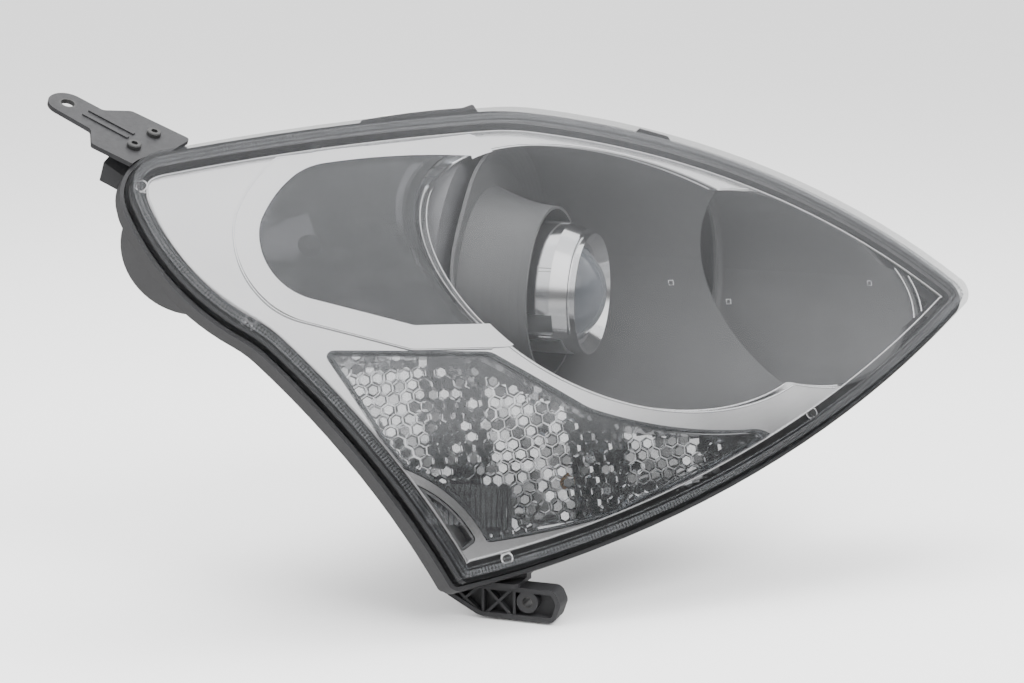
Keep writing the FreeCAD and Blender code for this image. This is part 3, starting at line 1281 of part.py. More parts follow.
# ================================================================ carrier and aim mechanism
def carrier_frame():
    """Plate that carries the projector and the high-beam reflector, and tilts to aim them."""
    low = along_y(80.0, CARRIER_FRONT, CARRIER_BACK, LOW_X, LOW_BOWL_Z)
    high = along_y(46.0, CARRIER_FRONT, CARRIER_BACK, HIGH_X - 14, HIGH_Z)
    rim_low = tube_y(80.0, 77.0, CARRIER_BACK, CARRIER_BACK + 6, LOW_X, LOW_BOWL_Z)
    rim_high = tube_y(46.0, 43.0, CARRIER_BACK, CARRIER_BACK + 6, HIGH_X - 14, HIGH_Z)
    inner_low = along_y(77.0, CARRIER_BACK, CARRIER_BACK + 7, LOW_X, LOW_BOWL_Z)
    inner_high = along_y(43.0, CARRIER_BACK, CARRIER_BACK + 7, HIGH_X - 14, HIGH_Z)
    pads = []
    for x, z in socket_places():
        pads.append(along_y(SOCKET_PAD_RADIUS, CARRIER_FRONT, CARRIER_BACK, x, z))
    plate = fused([low, high, rim_low.cut(inner_high), rim_high.cut(inner_low)] + pads)
    openings = [
        along_y(HOLDER_RADIUS - 4.0, 0, 120, LOW_X, LOW_Z),
        along_y(24.0, 0, 120, HIGH_X, HIGH_Z),
    ]
    for angle in (200.0, 250.0, 340.0, 20.0, 60.0):
        across = 66.0 * math.cos(math.radians(angle))
        up = 66.0 * math.sin(math.radians(angle))
        if math.hypot(LOW_X + across - HIGH_X, up) > 40:
            openings.append(along_y(8.0, 0, 120, LOW_X + across, LOW_BOWL_Z + up))
    for x, z in socket_places():
        openings.append(along_y(SOCKET_PLUG_RADIUS, 0, 120, x, z))
        openings.append(along_y(SOCKET_RADIUS_OUT + FIT_GAP, CARRIER_BACK, 120, x, z))
    return plate.cut(openings + flange_holes(FOOT_SCREW_RADIUS))


SOCKET_PAD_RADIUS = 10.0
SOCKET_PLUG_RADIUS = 5.0
SOCKET_RADIUS_OUT = BALL_RADIUS + 3.2


def socket_places():
    """Where the ball sockets sit on the carrier: two pivots and the aiming screw."""
    return [(x, PIVOT_Z) for x in PIVOT_X] + [(AIMER_X, AIMER_Z)]


def ball_socket(x, z):
    """Plastic snap-in socket for a ball, open at the back."""
    body = along_y(SOCKET_RADIUS_OUT, CARRIER_BACK, PIVOT_Y + 3.4, x, z)
    plug = along_y(SOCKET_PLUG_RADIUS, CARRIER_FRONT - 1.5, CARRIER_BACK, x, z)
    cavity = Part.makeSphere(BALL_RADIUS + BALL_GAP, Vec(x, PIVOT_Y, z))
    mouth = along_y(STUD_RADIUS + 0.9, PIVOT_Y, PIVOT_Y + 8, x, z)
    return fused([body, plug]).cut([cavity, mouth])


def pivot_sockets():
    """The two sockets that the carrier hangs from."""
    return [ball_socket(x, PIVOT_Z) for x in PIVOT_X]


def adjuster_socket():
    """The socket that the aiming screw pushes."""
    return ball_socket(AIMER_X, AIMER_Z)


def pivot_studs():
    """Two ball studs screwed through the housing's back."""
    studs = []
    for x in PIVOT_X:
        ball = Part.makeSphere(BALL_RADIUS, Vec(x, PIVOT_Y, PIVOT_Z))
        shank = along_y(STUD_RADIUS, PIVOT_Y, LOW_BUCKET_BACK + 1, x, PIVOT_Z)
        head = hex_bar(5.5, LOW_BUCKET_BACK, LOW_BUCKET_BACK + 4, x, PIVOT_Z)
        studs.append(fused([ball, shank, head]))
    return studs


def hex_bar(radius, front, back, x, z):
    """A hexagonal bar along Y."""
    corners = [Vec(x + across, front, z + up) for across, up in ring_points(6, radius)]
    return Part.Face(Part.makePolygon(corners + [corners[0]])).extrude(Vec(0, back - front, 0))


BOX_FRONT = LOW_BUCKET_BACK
BOX_BACK = LOW_BUCKET_BACK + 33.0
BOX_HALF = 18.0
BOX_WALL = 2.0
NUT_FACE = LOW_BUCKET_BACK + 15.0           # roots of the nut's face teeth
PINION_Y = NUT_FACE + 0.35 + PITCH_RADIUS + TOOTH_HEIGHT / 2
PINION_LOW = 10.2
PINION_HIGH = 13.8
SHAFT_RADIUS = 3.6
SHAFT_TOP = 34.0


def adjuster_housing():
    """Gearbox on the housing's back, with a bore for each shaft."""
    x, z = AIMER_X, AIMER_Z
    box = block(x - BOX_HALF, x + BOX_HALF, BOX_FRONT, BOX_BACK, z - BOX_HALF, z + BOX_HALF)
    hollow = block(x - BOX_HALF + BOX_WALL, x + BOX_HALF - BOX_WALL, BOX_FRONT + 8, BOX_BACK + 1,
                   z - BOX_HALF + BOX_WALL, z + BOX_HALF - BOX_WALL)
    chimney = Part.makeCylinder(SHAFT_RADIUS + 2.5, SHAFT_TOP - BOX_HALF - 8, Vec(x, PINION_Y, z + BOX_HALF - 1))
    ears = [block(x - BOX_HALF - 8, x + BOX_HALF + 8, BOX_FRONT, BOX_FRONT + 3, z - 6, z + 6)]
    solid = fused([box, chimney] + ears).cut(hollow)
    bore = Part.makeCylinder(SHAFT_RADIUS + RUNNING_GAP, 60, Vec(x, PINION_Y, z + 5))
    journal = along_y(NUT_JOURNAL + RUNNING_GAP, BOX_FRONT - 1, BOX_FRONT + 9, x, z)
    holes = [Part.makeCylinder(1.6, 10, Vec(x + side * (BOX_HALF + 4), BOX_FRONT - 1, z), Vec(0, 1, 0))
             for side in (-1, 1)]
    return solid.cut([bore, journal] + holes)


NUT_JOURNAL = 7.0
NUT_FLANGE = 15.4


def adjuster_cover():
    """Back plate of the gearbox, with a guide for the screw."""
    x, z = AIMER_X, AIMER_Z
    plate = block(x - BOX_HALF, x + BOX_HALF, BOX_BACK, BOX_BACK + BOX_WALL, z - BOX_HALF, z + BOX_HALF)
    spigot = block(x - BOX_HALF + BOX_WALL + 0.2, x + BOX_HALF - BOX_WALL - 0.2, BOX_BACK - 2, BOX_BACK,
                   z - BOX_HALF + BOX_WALL + 0.2, z + BOX_HALF - BOX_WALL - 0.2)
    tower = along_y(6.5, BOX_BACK, BOX_BACK + 14, x, z)
    guide = along_y(SCREW_RADIUS + RUNNING_GAP, BOX_BACK - 20, BOX_BACK + 12, x, z)
    return fused([plate, spigot, tower]).cut(guide)


def adjuster_screws():
    """Two screws that hold the gearbox to the housing."""
    screws = []
    for side in (-1, 1):
        screw = headed_screw(1.6, 3.0, 3.2, 2.4)
        screws.append(placed(screw, (AIMER_X + side * (BOX_HALF + 4), BOX_FRONT + 3, AIMER_Z), (0, 1, 0)))
    return screws


def adjuster_nut():
    """Gear nut that drives the aiming screw: a hub, a flange and face teeth."""
    x, z = AIMER_X, AIMER_Z
    hub = along_y(NUT_JOURNAL, BOX_FRONT + 0.4, NUT_FACE, x, z)
    flange = along_y(NUT_FLANGE, NUT_FACE - 4, NUT_FACE, x, z)
    teeth = []
    tooth = block(-TOOTH_WIDTH / 2, TOOTH_WIDTH / 2, NUT_FACE - 0.5, NUT_FACE + TOOTH_HEIGHT, 8.4, NUT_FLANGE)
    for index in range(NUT_TEETH):
        turned = tooth.copy()
        turned.rotate(Vec(0, 0, 0), Vec(0, 1, 0), (index + 0.5) * 360.0 / NUT_TEETH)
        turned.translate(Vec(x, 0, z))
        teeth.append(turned)
    solid = fused([hub, flange] + teeth)
    return solid.cut(along_y(SCREW_RADIUS + RUNNING_GAP, BOX_FRONT - 5, BOX_BACK, x, z))


def adjuster_pinion():
    """Upright drive shaft with a small gear below and a hexagonal drive head on top."""
    x, z = AIMER_X, AIMER_Z
    root = PITCH_RADIUS - TOOTH_HEIGHT / 2 - 0.3
    tip = PITCH_RADIUS + TOOTH_HEIGHT / 2
    gear = Part.makeCylinder(root, PINION_HIGH - PINION_LOW, Vec(0, 0, PINION_LOW))
    shaft = Part.makeCylinder(SHAFT_RADIUS, SHAFT_TOP - PINION_HIGH, Vec(0, 0, PINION_HIGH))
    head_face = Part.Face(Part.makePolygon([Vec(a, b, SHAFT_TOP - 7) for a, b in ring_points(6, 5.0)] + [
        Vec(5.0, 0, SHAFT_TOP - 7)]))
    pieces = [gear, shaft, head_face.extrude(Vec(0, 0, 10))]
    tooth = block(0, tip, -TOOTH_WIDTH / 2, TOOTH_WIDTH / 2, PINION_LOW, PINION_HIGH)
    for index in range(PINION_TEETH):
        turned = tooth.copy()
        turned.rotate(Vec(0, 0, 0), Vec(0, 0, 1), 270.0 + index * 360.0 / PINION_TEETH)
        pieces.append(turned)
    return fused(pieces).translated(Vec(x, PINION_Y, z))


def adjuster_screw():
    """Aiming screw: a ball on a long shank that slides as its nut turns."""
    x, z = AIMER_X, AIMER_Z
    ball = Part.makeSphere(BALL_RADIUS, Vec(x, PIVOT_Y, z))
    shank = along_y(SCREW_RADIUS, PIVOT_Y, BOX_BACK + 6.5, x, z)
    return fused([ball, shank])


def projector_screws():
    """Four screws that hold the projector's two halves to the carrier."""
    screw = headed_screw(FOOT_SCREW_RADIUS, 13.0, 4.2, 3.0)
    back = CARRIER_BACK + 2.5
    return [placed(screw, (LOW_X + across, back, LOW_Z + up), (0, 1, 0))
            for across, up in ring_points(4, HOLDER_RADIUS + 5.0, 45.0)]


# ================================================================ writing the parts
NODES = {
    "housing": housing,
    "lens_cover": lens_cover,
    "lens_seal": lens_seal,
    "bezel": bezel,
    "bezel_screws": bezel_screws,
    "low_beam_bowl": low_beam_bowl,
    "high_beam_bowl": high_beam_bowl,
    "side_lamp_reflector": side_lamp_reflector,
    "side_lamp_lens": side_lamp_lens,
    "side_lamp_rim": side_lamp_rim,
    "turn_signal_reflector": turn_signal_reflector,
    "turn_signal_lens": turn_signal_lens,
    "side_marker_pocket": side_marker_pocket,
    "upper_arm": upper_arm,
    "arm_bush": arm_bush,
    "arm_screws": arm_screws,
    "lower_bracket": lower_bracket,
    "bracket_bush": bracket_bush,
    "bracket_screws": bracket_screws,
    "low_beam_cap": low_beam_cap,
    "low_beam_cap_seal": low_beam_cap_seal,
    "high_beam_cap": high_beam_cap,
    "high_beam_cap_seal": high_beam_cap_seal,
    "turn_signal_socket": turn_signal_socket,
    "turn_signal_bulb": turn_signal_bulb,
    "side_lamp_socket": side_lamp_socket,
    "side_lamp_bulb": side_lamp_bulb,
    "breather_cap": breather_cap,
    "connector_inlet": connector_inlet,
    "connector_blades": connector_blades,
    "pivot_studs": pivot_studs,
    "adjuster_housing": adjuster_housing,
    "adjuster_cover": adjuster_cover,
    "adjuster_box_screws": adjuster_screws,
    "adjuster_nut": adjuster_nut,
    "adjuster_pinion": adjuster_pinion,
    "adjuster_screw": adjuster_screw,
    "carrier_frame": carrier_frame,
    "pivot_sockets": pivot_sockets,
    "adjuster_socket": adjuster_socket,
    "projector_lens": projector_lens,
    "lens_holder": lens_holder,
    "projector_shroud": projector_shroud,
    "projector_trim_ring": projector_trim_ring,
    "cut_off_shield": cut_off_shield,
    "projector_reflector": reflector_with_posts,
    "projector_screws": projector_screws,
    "low_beam_bulb": low_beam_bulb,
    "low_beam_bulb_base": low_beam_bulb_base,
    "bulb_clip": bulb_clip,
    "high_beam_reflector": high_beam_reflector,
    "high_beam_bulb": high_beam_bulb,
    "high_beam_bulb_base": high_beam_bulb_base,
    "high_beam_bulb_shield": high_beam_bulb_shield,
}


def write_node(name, make):
    """Build one node in crown axes, move it to the origin at the bolt hole and write its STEP file."""
    made = make()
    shape = Part.makeCompound(made) if isinstance(made, list) else made
    shape = shape.copy()
    shape.translate(Vec(*CROWN))
    shape.exportStep("parts/" + name + ".step")
    print(name, len(shape.Solids), "solid(s),", round(shape.Volume / 1000, 2), "cm3, valid", shape.isValid())


os.makedirs("parts", exist_ok=True)
for node_name, maker in NODES.items():
    write_node(node_name, maker)
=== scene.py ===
"""Looks of the right-hand car headlight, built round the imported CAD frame. Metres, row frame."""
import json
import math
import bpy
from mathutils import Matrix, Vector


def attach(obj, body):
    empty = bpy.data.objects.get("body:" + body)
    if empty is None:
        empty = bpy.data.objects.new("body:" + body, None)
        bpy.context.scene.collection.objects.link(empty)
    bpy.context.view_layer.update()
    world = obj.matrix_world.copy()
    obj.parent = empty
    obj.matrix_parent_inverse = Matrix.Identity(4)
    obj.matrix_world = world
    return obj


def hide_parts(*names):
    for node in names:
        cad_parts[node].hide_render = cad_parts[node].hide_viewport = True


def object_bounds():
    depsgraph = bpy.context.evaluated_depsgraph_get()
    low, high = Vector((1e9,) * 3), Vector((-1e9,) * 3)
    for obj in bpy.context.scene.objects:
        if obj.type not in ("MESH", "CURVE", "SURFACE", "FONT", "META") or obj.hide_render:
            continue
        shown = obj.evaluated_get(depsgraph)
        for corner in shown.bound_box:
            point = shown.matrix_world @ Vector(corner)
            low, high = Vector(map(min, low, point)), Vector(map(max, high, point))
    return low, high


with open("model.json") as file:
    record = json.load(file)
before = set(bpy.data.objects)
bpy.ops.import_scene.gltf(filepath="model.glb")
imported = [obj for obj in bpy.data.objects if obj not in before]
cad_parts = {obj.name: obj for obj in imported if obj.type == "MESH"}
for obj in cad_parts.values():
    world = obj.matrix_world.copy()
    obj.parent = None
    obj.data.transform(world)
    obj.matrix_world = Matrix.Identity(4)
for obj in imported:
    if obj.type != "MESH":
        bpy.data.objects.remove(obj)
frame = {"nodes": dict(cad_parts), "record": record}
box_low, box_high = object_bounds()

# ---------------------------------------------------------------- lens surface, as in the CAD source
MM = 0.001
CROWN = Vector((17.0, 1.0, 176.0))
W_AXIS = Vector((-1.20, -1.0, 0.67)).normalized()
U_AXIS = Vector((1.0, -1.20, 0.0)).normalized()
V_AXIS = W_AXIS.cross(U_AXIS)
BOW_RADIUS, ROLL_RADIUS = 3000.0, 480.0
LOW_DISH, LOW_RADIUS = (72.0, 17.0), 83.2
HIGH_DISH, HIGH_RADIUS = (140.0, 4.0), 63.2
DISH_ROOM = 8.8                   # how far the inner pieces keep from the dishes' mouths, in mm


def lens_w(u, v, depth):
    """Height of the lens-shaped surface at one depth, in mm."""
    bow = BOW_RADIUS - ROLL_RADIUS + math.sqrt((ROLL_RADIUS - depth) ** 2 - v * v)
    return math.sqrt(bow * bow - u * u) - BOW_RADIUS


def on_lens(u, v, depth):
    """A point in the row frame, in metres."""
    return (CROWN + U_AXIS * u + V_AXIS * v + W_AXIS * lens_w(u, v, depth)) * MM


def arc_points(start, end, bow, count):
    """Points from start towards end on an arc that stands out to the left by bow."""
    (x0, y0), (x1, y1) = start, end
    length = math.hypot(x1 - x0, y1 - y0)
    side = (-(y1 - y0) / length, (x1 - x0) / length)
    points = []
    for index in range(count):
        share = index / count
        lift = 4 * bow * share * (1 - share)
        points.append((x0 + (x1 - x0) * share + side[0] * lift, y0 + (y1 - y0) * share + side[1] * lift))
    return points


def outline(corners):
    """A dense closed outline (u, v) from (u, v, bow of the next side, corner radius), clockwise."""
    sides = []
    for index, (u, v, bow, radius) in enumerate(corners):
        after = corners[(index + 1) % len(corners)]
        sides.append(arc_points((u, v), after[:2], bow, 120))
    rounded = []
    for index, side in enumerate(sides):
        before = sides[index - 1]
        start = rounding(before[-1], side, corners[index][3])
        after = sides[(index + 1) % len(sides)]
        end = rounding(side[-1], after, corners[(index + 1) % len(corners)][3])
        first = from_back(before, start)
        second = walk(side, start)
        corner = side[0]
        if start > 0:
            for step in range(1, 12):
                share = step / 12
                rounded.append(tuple(
                    (1 - share) ** 2 * a + 2 * share * (1 - share) * b + share ** 2 * c
                    for a, b, c in zip(first, corner, second)))
        kept = [p for p in side if math.dist(p, corner) >= start and math.dist(p, after[0]) >= end]
        rounded += kept
    return rounded


def rounding(last, side, radius):
    """How far from a corner its rounding starts."""
    a = (last[0] - side[0][0], last[1] - side[0][1])
    b = (side[1][0] - side[0][0], side[1][1] - side[0][1])
    turn = (a[0] * b[0] + a[1] * b[1]) / (math.hypot(*a) * math.hypot(*b))
    half = math.acos(max(-1.0, min(1.0, turn))) / 2
    return radius / math.tan(half)


def walk(side, distance):
    """The first point of a side at least a distance from its start."""
    return next((p for p in side if math.dist(p, side[0]) >= distance), side[-1])


def from_back(side, distance):
    """The last point of a side at least a distance from the corner at its end."""
    corner = side[-1]
    return next((p for p in reversed(side) if math.dist(p, corner) >= distance), side[0])


def inset(points, distance, spacing=2.0):
    """A clockwise outline moved inwards, evenly spaced."""
    moved = []
    count = len(points)
    for index, (u, v) in enumerate(points):
        before, after = points[(index - 3) % count], points[(index + 3) % count]
        way = (after[0] - before[0], after[1] - before[1])
        length = math.hypot(*way)
        moved.append((u + way[1] / length * distance, v - way[0] / length * distance))
    clean = []
    for place in moved:
        nearest = min(edge_distance(place, points[i], points[i - 1]) for i in range(0, count, 2))
        spaced = not clean or math.dist(place, clean[-1]) > spacing * 0.5
        if nearest > abs(distance) * 0.93 and spaced:
            clean.append(place)
    return clean


def edge_distance(place, a, b):
    """Distance from a place to a short side."""
    return min(math.dist(place, a), math.dist(place, b))


def inside(place, points):
    """Whether a place lies within a closed outline."""
    u, v = place
    crossings = 0
    for (u0, v0), (u1, v1) in zip(points, points[1:] + points[:1]):
        if (v0 > v) != (v1 > v) and u < (u1 - u0) * (v - v0) / (v1 - v0) + u0:
            crossings += 1
    return crossings % 2 == 1


LENS = outline([(-64, -156, -5, 5), (-178, 3, 18, 70), (-246, 124, 4, 27), (11, 147, 25, 150),
                (324, 2, 29, 11)])
SIDE_LAMP = outline([(-20, 2, 0, 0.5), (-78, 5, 0, 0.5), (-150, 30, 8, 40), (-165, 78, 4, 30),
                     (-128, 115, 3, 46), (-20, 116, 0, 0.5)])
TURN = outline([(-98, -81, 0, 3), (-138, -6, 0, 4), (-31, -15, 0, 14), (30, -55, -6, 40),
                (150, -77, 0, 20), (168, -88, 9, 3), (-43, -132, -7, 4)])


# ---------------------------------------------------------------- shader arithmetic
class Socket:
    """A shader value that can be used in arithmetic."""

    def __init__(self, paint, socket):
        self.paint, self.socket = paint, socket

    def maths(self, operation, first, second=0.0):
        return self.paint.node("ShaderNodeMath", {0: first, 1: second}, operation=operation)

    def __add__(self, other):
        return self.maths("ADD", self, other)

    def __sub__(self, other):
        return self.maths("SUBTRACT", self, other)

    def __mul__(self, other):
        return self.maths("MULTIPLY", self, other)

    def __pow__(self, other):
        return self.maths("POWER", self, other)

    def __rsub__(self, other):
        return self.maths("SUBTRACT", other, self)

    __radd__ = __add__
    __rmul__ = __mul__

    def between(self, low, high, start=0.0, end=1.0):
        return self.paint.node("ShaderNodeMapRange", {"Value": self, "From Min": low, "From Max": high,
                                                      "To Min": start, "To Max": end})


class Paint:
    """A material under construction."""

    def __init__(self, name):
        self.material = bpy.data.materials.new(name)
        self.material.use_nodes = True
        self.tree = self.material.node_tree
        self.tree.nodes.clear()
        self.place = self.node("ShaderNodeTexCoord", {}, output="Object")

    def node(self, kind, inputs, output=0, **settings):
        """Any node, its inputs by name or number, as the socket of one output."""
        made = self.tree.nodes.new(kind)
        for key, value in settings.items():
            setattr(made, key, value)
        for key, value in inputs.items():
            if isinstance(value, Socket):
                self.tree.links.new(value.socket, made.inputs[key])
            else:
                made.inputs[key].default_value = value
        return Socket(self, made.outputs[output]) if len(made.outputs) else None

    def noise(self, scale, detail=3.0, rough=0.5, place=None):
        return self.node("ShaderNodeTexNoise", {"Vector": place or self.place, "Scale": scale,
                                                "Detail": detail, "Roughness": rough})

    def speckle(self, scale, place=None):
        return self.node("ShaderNodeTexVoronoi", {"Vector": place or self.place, "Scale": scale})

    def stretched(self, x, y, z):
        return self.node("ShaderNodeVectorMath", {0: self.place, 1: (x, y, z)}, operation="MULTIPLY")

    def mix(self, share, first, second):
        return self.node("ShaderNodeMix", {0: share, 6: (*first, 1) if isinstance(first, tuple) else first,
                                           7: (*second, 1) if isinstance(second, tuple) else second},
                         output=2, data_type="RGBA")

    def bump(self, height, strength, distance, under=None):
        inputs = {"Height": height, "Strength": strength, "Distance": distance}
        if under:
            inputs["Normal"] = under
        return self.node("ShaderNodeBump", inputs)

    def upward(self):
        """How much a surface faces up, 0 to 1."""
        normal = self.node("ShaderNodeNewGeometry", {}, output="Normal")
        return self.node("ShaderNodeSeparateXYZ", {0: normal}, output="Z").between(0.4, 1.0)

    def surface(self, **inputs):
        names = {key.replace("_", " "): value for key, value in inputs.items()}
        return self.node("ShaderNodeBsdfPrincipled", names)

    def done(self, shader):
        self.node("ShaderNodeOutputMaterial", {"Surface": shader})
        return self.material


def moulded(name, dark, light, rough, grain, depth, coat=0.0):
    """Moulded plastic: grain, flow marks, handling sheen and a little dust on top."""
    paint = Paint(name)
    flow = paint.noise(22.0, 4.0)
    fine = paint.noise(grain, 6.0, 0.65)
    pits = paint.speckle(grain * 0.7)
    dust = paint.upward() * paint.noise(240.0, 5.0, 0.7).between(0.35, 0.75)
    colour = paint.mix(flow, dark, light)
    dusty = tuple(min(1.0, c * 1.7 + 0.03) for c in light)
    colour = paint.mix(dust * 0.35, colour, dusty)
    roughness = fine * 0.10 + flow * 0.10 + dust * 0.10 + (rough - 0.10)
    normal = paint.bump(fine * 0.6 + pits * 0.4, 0.35, depth)
    normal = paint.bump(flow, 0.08, 0.001, normal)
    return paint.done(paint.surface(Base_Color=colour, Roughness=roughness, Normal=normal, Coat_Weight=coat,
                                    Coat_Roughness=0.12))


def metal(name, dark, light, rough, wave, scratch=0.05, stretch=(1.0, 1.0, 1.0)):
    """Metallised or bare metal: slight waviness, hairlines and cloudy sheen."""
    paint = Paint(name)
    cloud = paint.noise(30.0, 4.0)
    lines = paint.noise(420.0, 5.0, 0.7, paint.stretched(*stretch))
    specks = paint.speckle(900.0).between(0.0, 0.10, 1.0, 0.0)
    colour = paint.mix(cloud, dark, light)
    roughness = cloud * 0.06 + lines * scratch + specks * 0.05 + (rough - 0.04)
    normal = paint.bump(lines, 0.05, 0.0002)
    normal = paint.bump(cloud, wave, 0.004, normal)
    return paint.done(paint.surface(Base_Color=colour, Metallic=1.0, Roughness=roughness, Normal=normal))


def clear(name, tint, edge, gloss, rough, wave, haze=0.02, haze_colour=(0.8, 0.82, 0.84)):
    """Clear or tinted pane: light passes straight through, with reflections that grow at the edges."""
    paint = Paint(name)
    ripple = paint.noise(16.0, 2.0)
    smear = paint.noise(70.0, 5.0, 0.6).between(0.45, 0.8)
    normal = paint.bump(ripple, wave, 0.004)
    facing = paint.node("ShaderNodeLayerWeight", {"Blend": 0.35, "Normal": normal}, output="Facing")
    flat = paint.node("ShaderNodeBsdfTransparent", {"Color": (*tint, 1)})
    steep = paint.node("ShaderNodeBsdfTransparent", {"Color": (*edge, 1)})
    through = paint.node("ShaderNodeMixShader", {0: facing ** 3.0, 1: flat, 2: steep})
    shine = paint.surface(Base_Color=(0.9, 0.92, 0.95, 1), Metallic=1.0, Roughness=smear * 0.05 + rough,
                          Normal=normal)
    film = paint.surface(Base_Color=(*haze_colour, 1), Roughness=smear * 0.2 + 0.4)
    fresnel = paint.node("ShaderNodeFresnel", {"IOR": 1.5, "Normal": normal})
    body = paint.node("ShaderNodeMixShader", {0: smear * haze + haze * 0.5, 1: through, 2: film})
    return paint.done(paint.node("ShaderNodeMixShader", {0: fresnel * gloss, 1: body, 2: shine}))


def condenser(name):
    """Thick polished lens over a dark barrel: deep grey, with a painted pale reflection round its rim that
    grows where the glass is seen edge-on.
    """
    paint = Paint(name)
    facing = paint.node("ShaderNodeLayerWeight", {"Blend": 0.45}, output="Facing")
    depth = paint.noise(35.0, 3.0)
    # painted reflection: the colour goes from deep grey to pale where the surface turns edge-on to the
    # camera, a pale rim painted in place of a real reflection
    colour = paint.mix(facing ** 1.8, (0.040, 0.044, 0.052), (0.34, 0.36, 0.39))
    colour = paint.mix(depth * 0.22, colour, (0.14, 0.15, 0.17))
    normal = paint.bump(depth, 0.01, 0.0005)
    return paint.done(paint.surface(Base_Color=colour, Roughness=depth * 0.04 + 0.04, Coat_Weight=1.0,
                                    Coat_Roughness=0.02, Normal=normal, Metallic=0.25))


SLOTS = {
    "black_plastic": moulded("black_plastic", (0.012, 0.012, 0.013), (0.030, 0.030, 0.032), 0.46, 900.0,
                             0.0003),
    "clear_cover": clear("clear_cover", (0.985, 0.985, 0.985), (0.84, 0.85, 0.85), 0.45, 0.02, 0.01, 0.004),
    "sealant": moulded("sealant", (0.02, 0.02, 0.02), (0.05, 0.05, 0.05), 0.6, 500.0, 0.0004),
    "satin_chrome": metal("satin_chrome", (0.72, 0.72, 0.73), (0.84, 0.84, 0.85), 0.17, 0.02),
    "black_screw": moulded("black_screw", (0.014, 0.014, 0.014), (0.03, 0.03, 0.03), 0.36, 1300.0, 0.0001,
                           0.1),
    "screw_steel": metal("screw_steel", (0.34, 0.34, 0.36), (0.56, 0.55, 0.53), 0.34, 0.03, 0.14),
    "dark_trim": moulded("dark_trim", (0.050, 0.051, 0.052), (0.066, 0.067, 0.069), 0.50, 2800.0, 0.000003),
    "mirror_coat": metal("mirror_coat", (0.78, 0.79, 0.80), (0.90, 0.90, 0.91), 0.08, 0.03, 0.02),
    "smoked_lens": clear("smoked_lens", (0.50, 0.50, 0.51), (0.22, 0.22, 0.23), 1.2, 0.03, 0.02, 0.03,
                         (0.4, 0.4, 0.41)),
    "clear_lens": clear("clear_lens", (0.95, 0.95, 0.95), (0.60, 0.61, 0.62), 1.0, 0.03, 0.04, 0.02),
    "rubber": moulded("rubber", (0.018, 0.018, 0.018), (0.036, 0.036, 0.036), 0.68, 700.0, 0.0004),
    "bulb_glass": clear("bulb_glass", (0.96, 0.97, 0.98), (0.55, 0.58, 0.6), 1.0, 0.02, 0.02),
    "amber_glass": clear("amber_glass", (0.98, 0.55, 0.12), (0.75, 0.30, 0.04), 1.0, 0.03, 0.03, 0.10,
                         (0.9, 0.45, 0.06)),
    "brass": metal("brass", (0.62, 0.44, 0.18), (0.82, 0.64, 0.34), 0.26, 0.02, 0.1),
    "bulb_metal": metal("bulb_metal", (0.50, 0.50, 0.52), (0.68, 0.68, 0.70), 0.30, 0.03, 0.1),
    "cast_metal": metal("cast_metal", (0.36, 0.37, 0.38), (0.54, 0.55, 0.56), 0.48, 0.10, 0.16),
    "white_nylon": moulded("white_nylon", (0.70, 0.70, 0.66), (0.82, 0.82, 0.78), 0.40, 600.0, 0.0002, 0.1),
    "gearbox_grey": moulded("gearbox_grey", (0.060, 0.062, 0.066), (0.12, 0.12, 0.125), 0.50, 800.0,
                            0.0003),
    "projector_glass": condenser("projector_glass"),
    "shroud_chrome": metal("shroud_chrome", (0.86, 0.86, 0.87), (0.94, 0.94, 0.95), 0.13, 0.02, 0.03),
    "spring_steel": metal("spring_steel", (0.40, 0.40, 0.42), (0.58, 0.58, 0.60), 0.28, 0.02, 0.12),
}

for entry in frame["record"]["subparts"]:
    piece = frame["nodes"][entry["node"]]
    piece.data.materials.clear()
    piece.data.materials.append(SLOTS[entry["material_slot"]])


# ---------------------------------------------------------------- node trees for what repeats
class Tree:
    """A Geometry Nodes tree under construction."""

    def __init__(self, name, **inputs):
        self.group = bpy.data.node_groups.new(name, "GeometryNodeTree")
        self.group.interface.new_socket("Geometry", in_out="INPUT", socket_type="NodeSocketGeometry")
        self.group.interface.new_socket("Geometry", in_out="OUTPUT", socket_type="NodeSocketGeometry")
        for key, kind in inputs.items():
            self.group.interface.new_socket(key, in_out="INPUT", socket_type="NodeSocket" + kind)
        self.entry = self.group.nodes.new("NodeGroupInput")

    def given(self, name):
        return self.entry.outputs[name]

    def node(self, kind, inputs, output=0, **settings):
        made = self.group.nodes.new(kind)
        for key, value in settings.items():
            setattr(made, key, value)
        for key, value in inputs.items():
            if isinstance(value, bpy.types.NodeSocket):
                self.group.links.new(value, made.inputs[key])
            else:
                made.inputs[key].default_value = value
        return made.outputs[output]

    def finish(self, geometry):
        whole = self.node("GeometryNodeRealizeInstances", {"Geometry": geometry})
        painted = self.node("GeometryNodeSetMaterial",
                            {"Geometry": whole, "Material": self.given("Material")})
        last = self.group.nodes.new("NodeGroupOutput")
        self.group.links.new(painted, last.inputs["Geometry"])
        return self.group


def bead_tree():
    """A round bead along every line of the input."""
    tree = Tree("bead", Radius="Float", Sides="Int", Material="Material")
    curve = tree.node("GeometryNodeMeshToCurve", {"Mesh": tree.given("Geometry")})
    ring = tree.node("GeometryNodeCurvePrimitiveCircle", {"Resolution": tree.given("Sides"),
                                                          "Radius": tree.given("Radius")}, mode="RADIUS")
    mesh = tree.node("GeometryNodeCurveToMesh", {"Curve": curve, "Profile Curve": ring, "Fill Caps": True})
    smooth = tree.node("GeometryNodeSetShadeSmooth", {"Geometry": mesh})
    return tree.finish(smooth)


